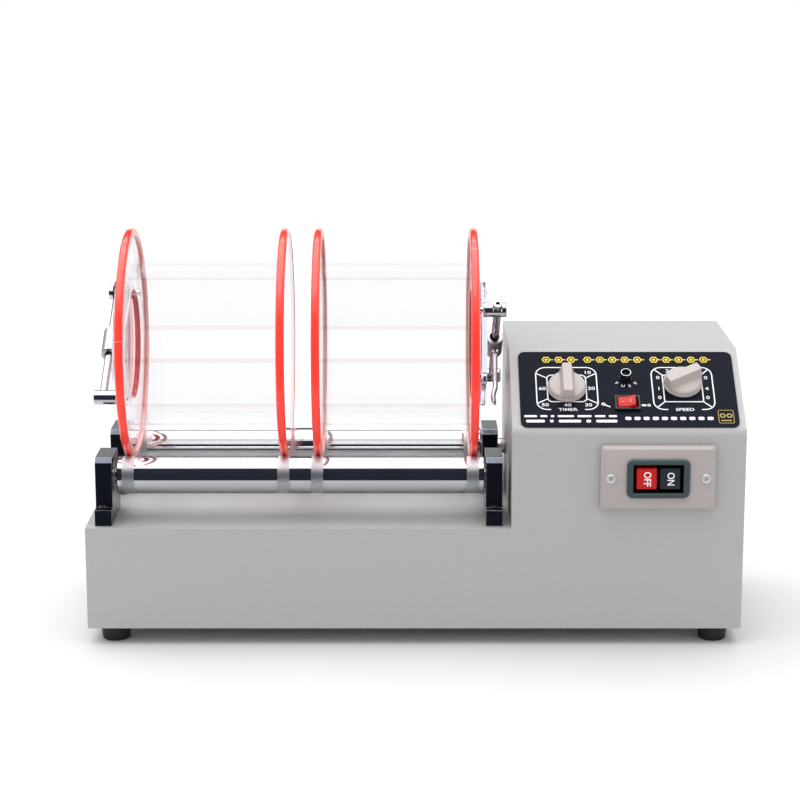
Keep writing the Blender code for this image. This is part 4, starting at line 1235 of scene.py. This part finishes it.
def make_pulleys():
    """Two grooved pulleys: the driven one is lightened by five holes."""
    for node, body in (("roller_pulley", "rear_roller"), ("motor_pulley", "motor_pulley")):
        low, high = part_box(node)
        middle = (low + high) / 2
        place = facing((low.x, middle.y, middle.z), (1, 0, 0), (0, 1, 0))
        radius, width = (high.z - low.z) / MM / 2, 12.0
        bore = JOURNAL_RADIUS + 0.3 if body == "rear_roller" else 0.0
        reach = (high.x - low.x) / MM
        rim = [(radius - 0.5, 0), (radius, 0.5), (radius, 3.0), (radius - 2, 4.0), (radius - 2, 8.0),
               (radius, 9.0), (radius, width - 0.5), (radius - 0.5, width)]
        tail = [(bore, width)] if bore else [(5, width), (5, reach), (0, reach)]
        profile = [(bore, 0)] + rim + tail
        wheel = piece(f"{node}_turned", revolve(bmesh.new(), profile, 96), place, ["aluminium"], body, [node])
        if bore:
            for i in range(5):
                turn = 2 * math.pi * i / 5
                at = (19.5 * math.cos(turn), 19.5 * math.sin(turn))
                carve(wheel, prism(bmesh.new(), circle(6.0, 32, at), -2, 14), place)


def cut_corners(width, height, cut, z):
    """A rectangle with its two upper corners cut off."""
    x, y = width / 2, height / 2
    return at_height([(x, -y), (x, y - cut), (x - cut, y), (-x + cut, y), (-x, y - cut), (-x, -y)], z)


def make_inlet():
    """A mains inlet: a flange with two screws, a socket with cut corners, and three blades in it."""
    place = rear_face(*INLET_AT, DEPTH + 0.3)
    moulding = loft(bmesh.new(), [cut_corners(*layer) for layer in (
        (28, 21, 0.5, -22), (28, 21, 0.5, 0), (40, 28, 1.5, 0), (40, 28, 1.5, 2.0), (39, 27, 1.2, 2.5),
        (24.6, 17.1, 4.2, 2.5), (24, 16.5, 4.0, 2.0), (24, 16.5, 4.0, -18))])
    piece("inlet_moulding", moulding, place, ["black"], "housing", ["power_inlet"])
    blades = bmesh.new()
    for x, y in ((-7, -1.8), (7, -1.8), (0, 2.4)):
        blade = rounded(2.0, 4.0, 0.4, (x, y))
        tip = rounded(1.4, 3.2, 0.3, (x, y))
        loft(blades, [at_height(blade, -18.5), at_height(blade, -5), at_height(tip, -3.6)])
    piece("inlet_blades", blades, place, ["steel"], "housing")
    for number, x in enumerate((-16.5, 16.5)):
        at = place @ Matrix.Translation((x * MM, 0, 2.0 * MM))
        screw_head(f"inlet_screw_{number}", at, 2.2, 0.6, "housing")


make_camera()
M = make_materials()
make_studio()
make_housing()
for depth in DEPTHS:
    make_roller(depth)
    for end in SIDES:
        make_foot(depth, end)
        make_block(depth, end)
        make_bearing(depth, end)
for end in SIDES:
    make_drum(end)
make_panel()
make_title()
make_marks()
make_emblem()
make_knob("timer_knob", TIMER_AT, 0.0)
make_knob("speed_knob", SPEED_AT, SPEED_POINTS)
make_fuse()
make_rocker()
make_station()
make_hidden()
make_inlet()
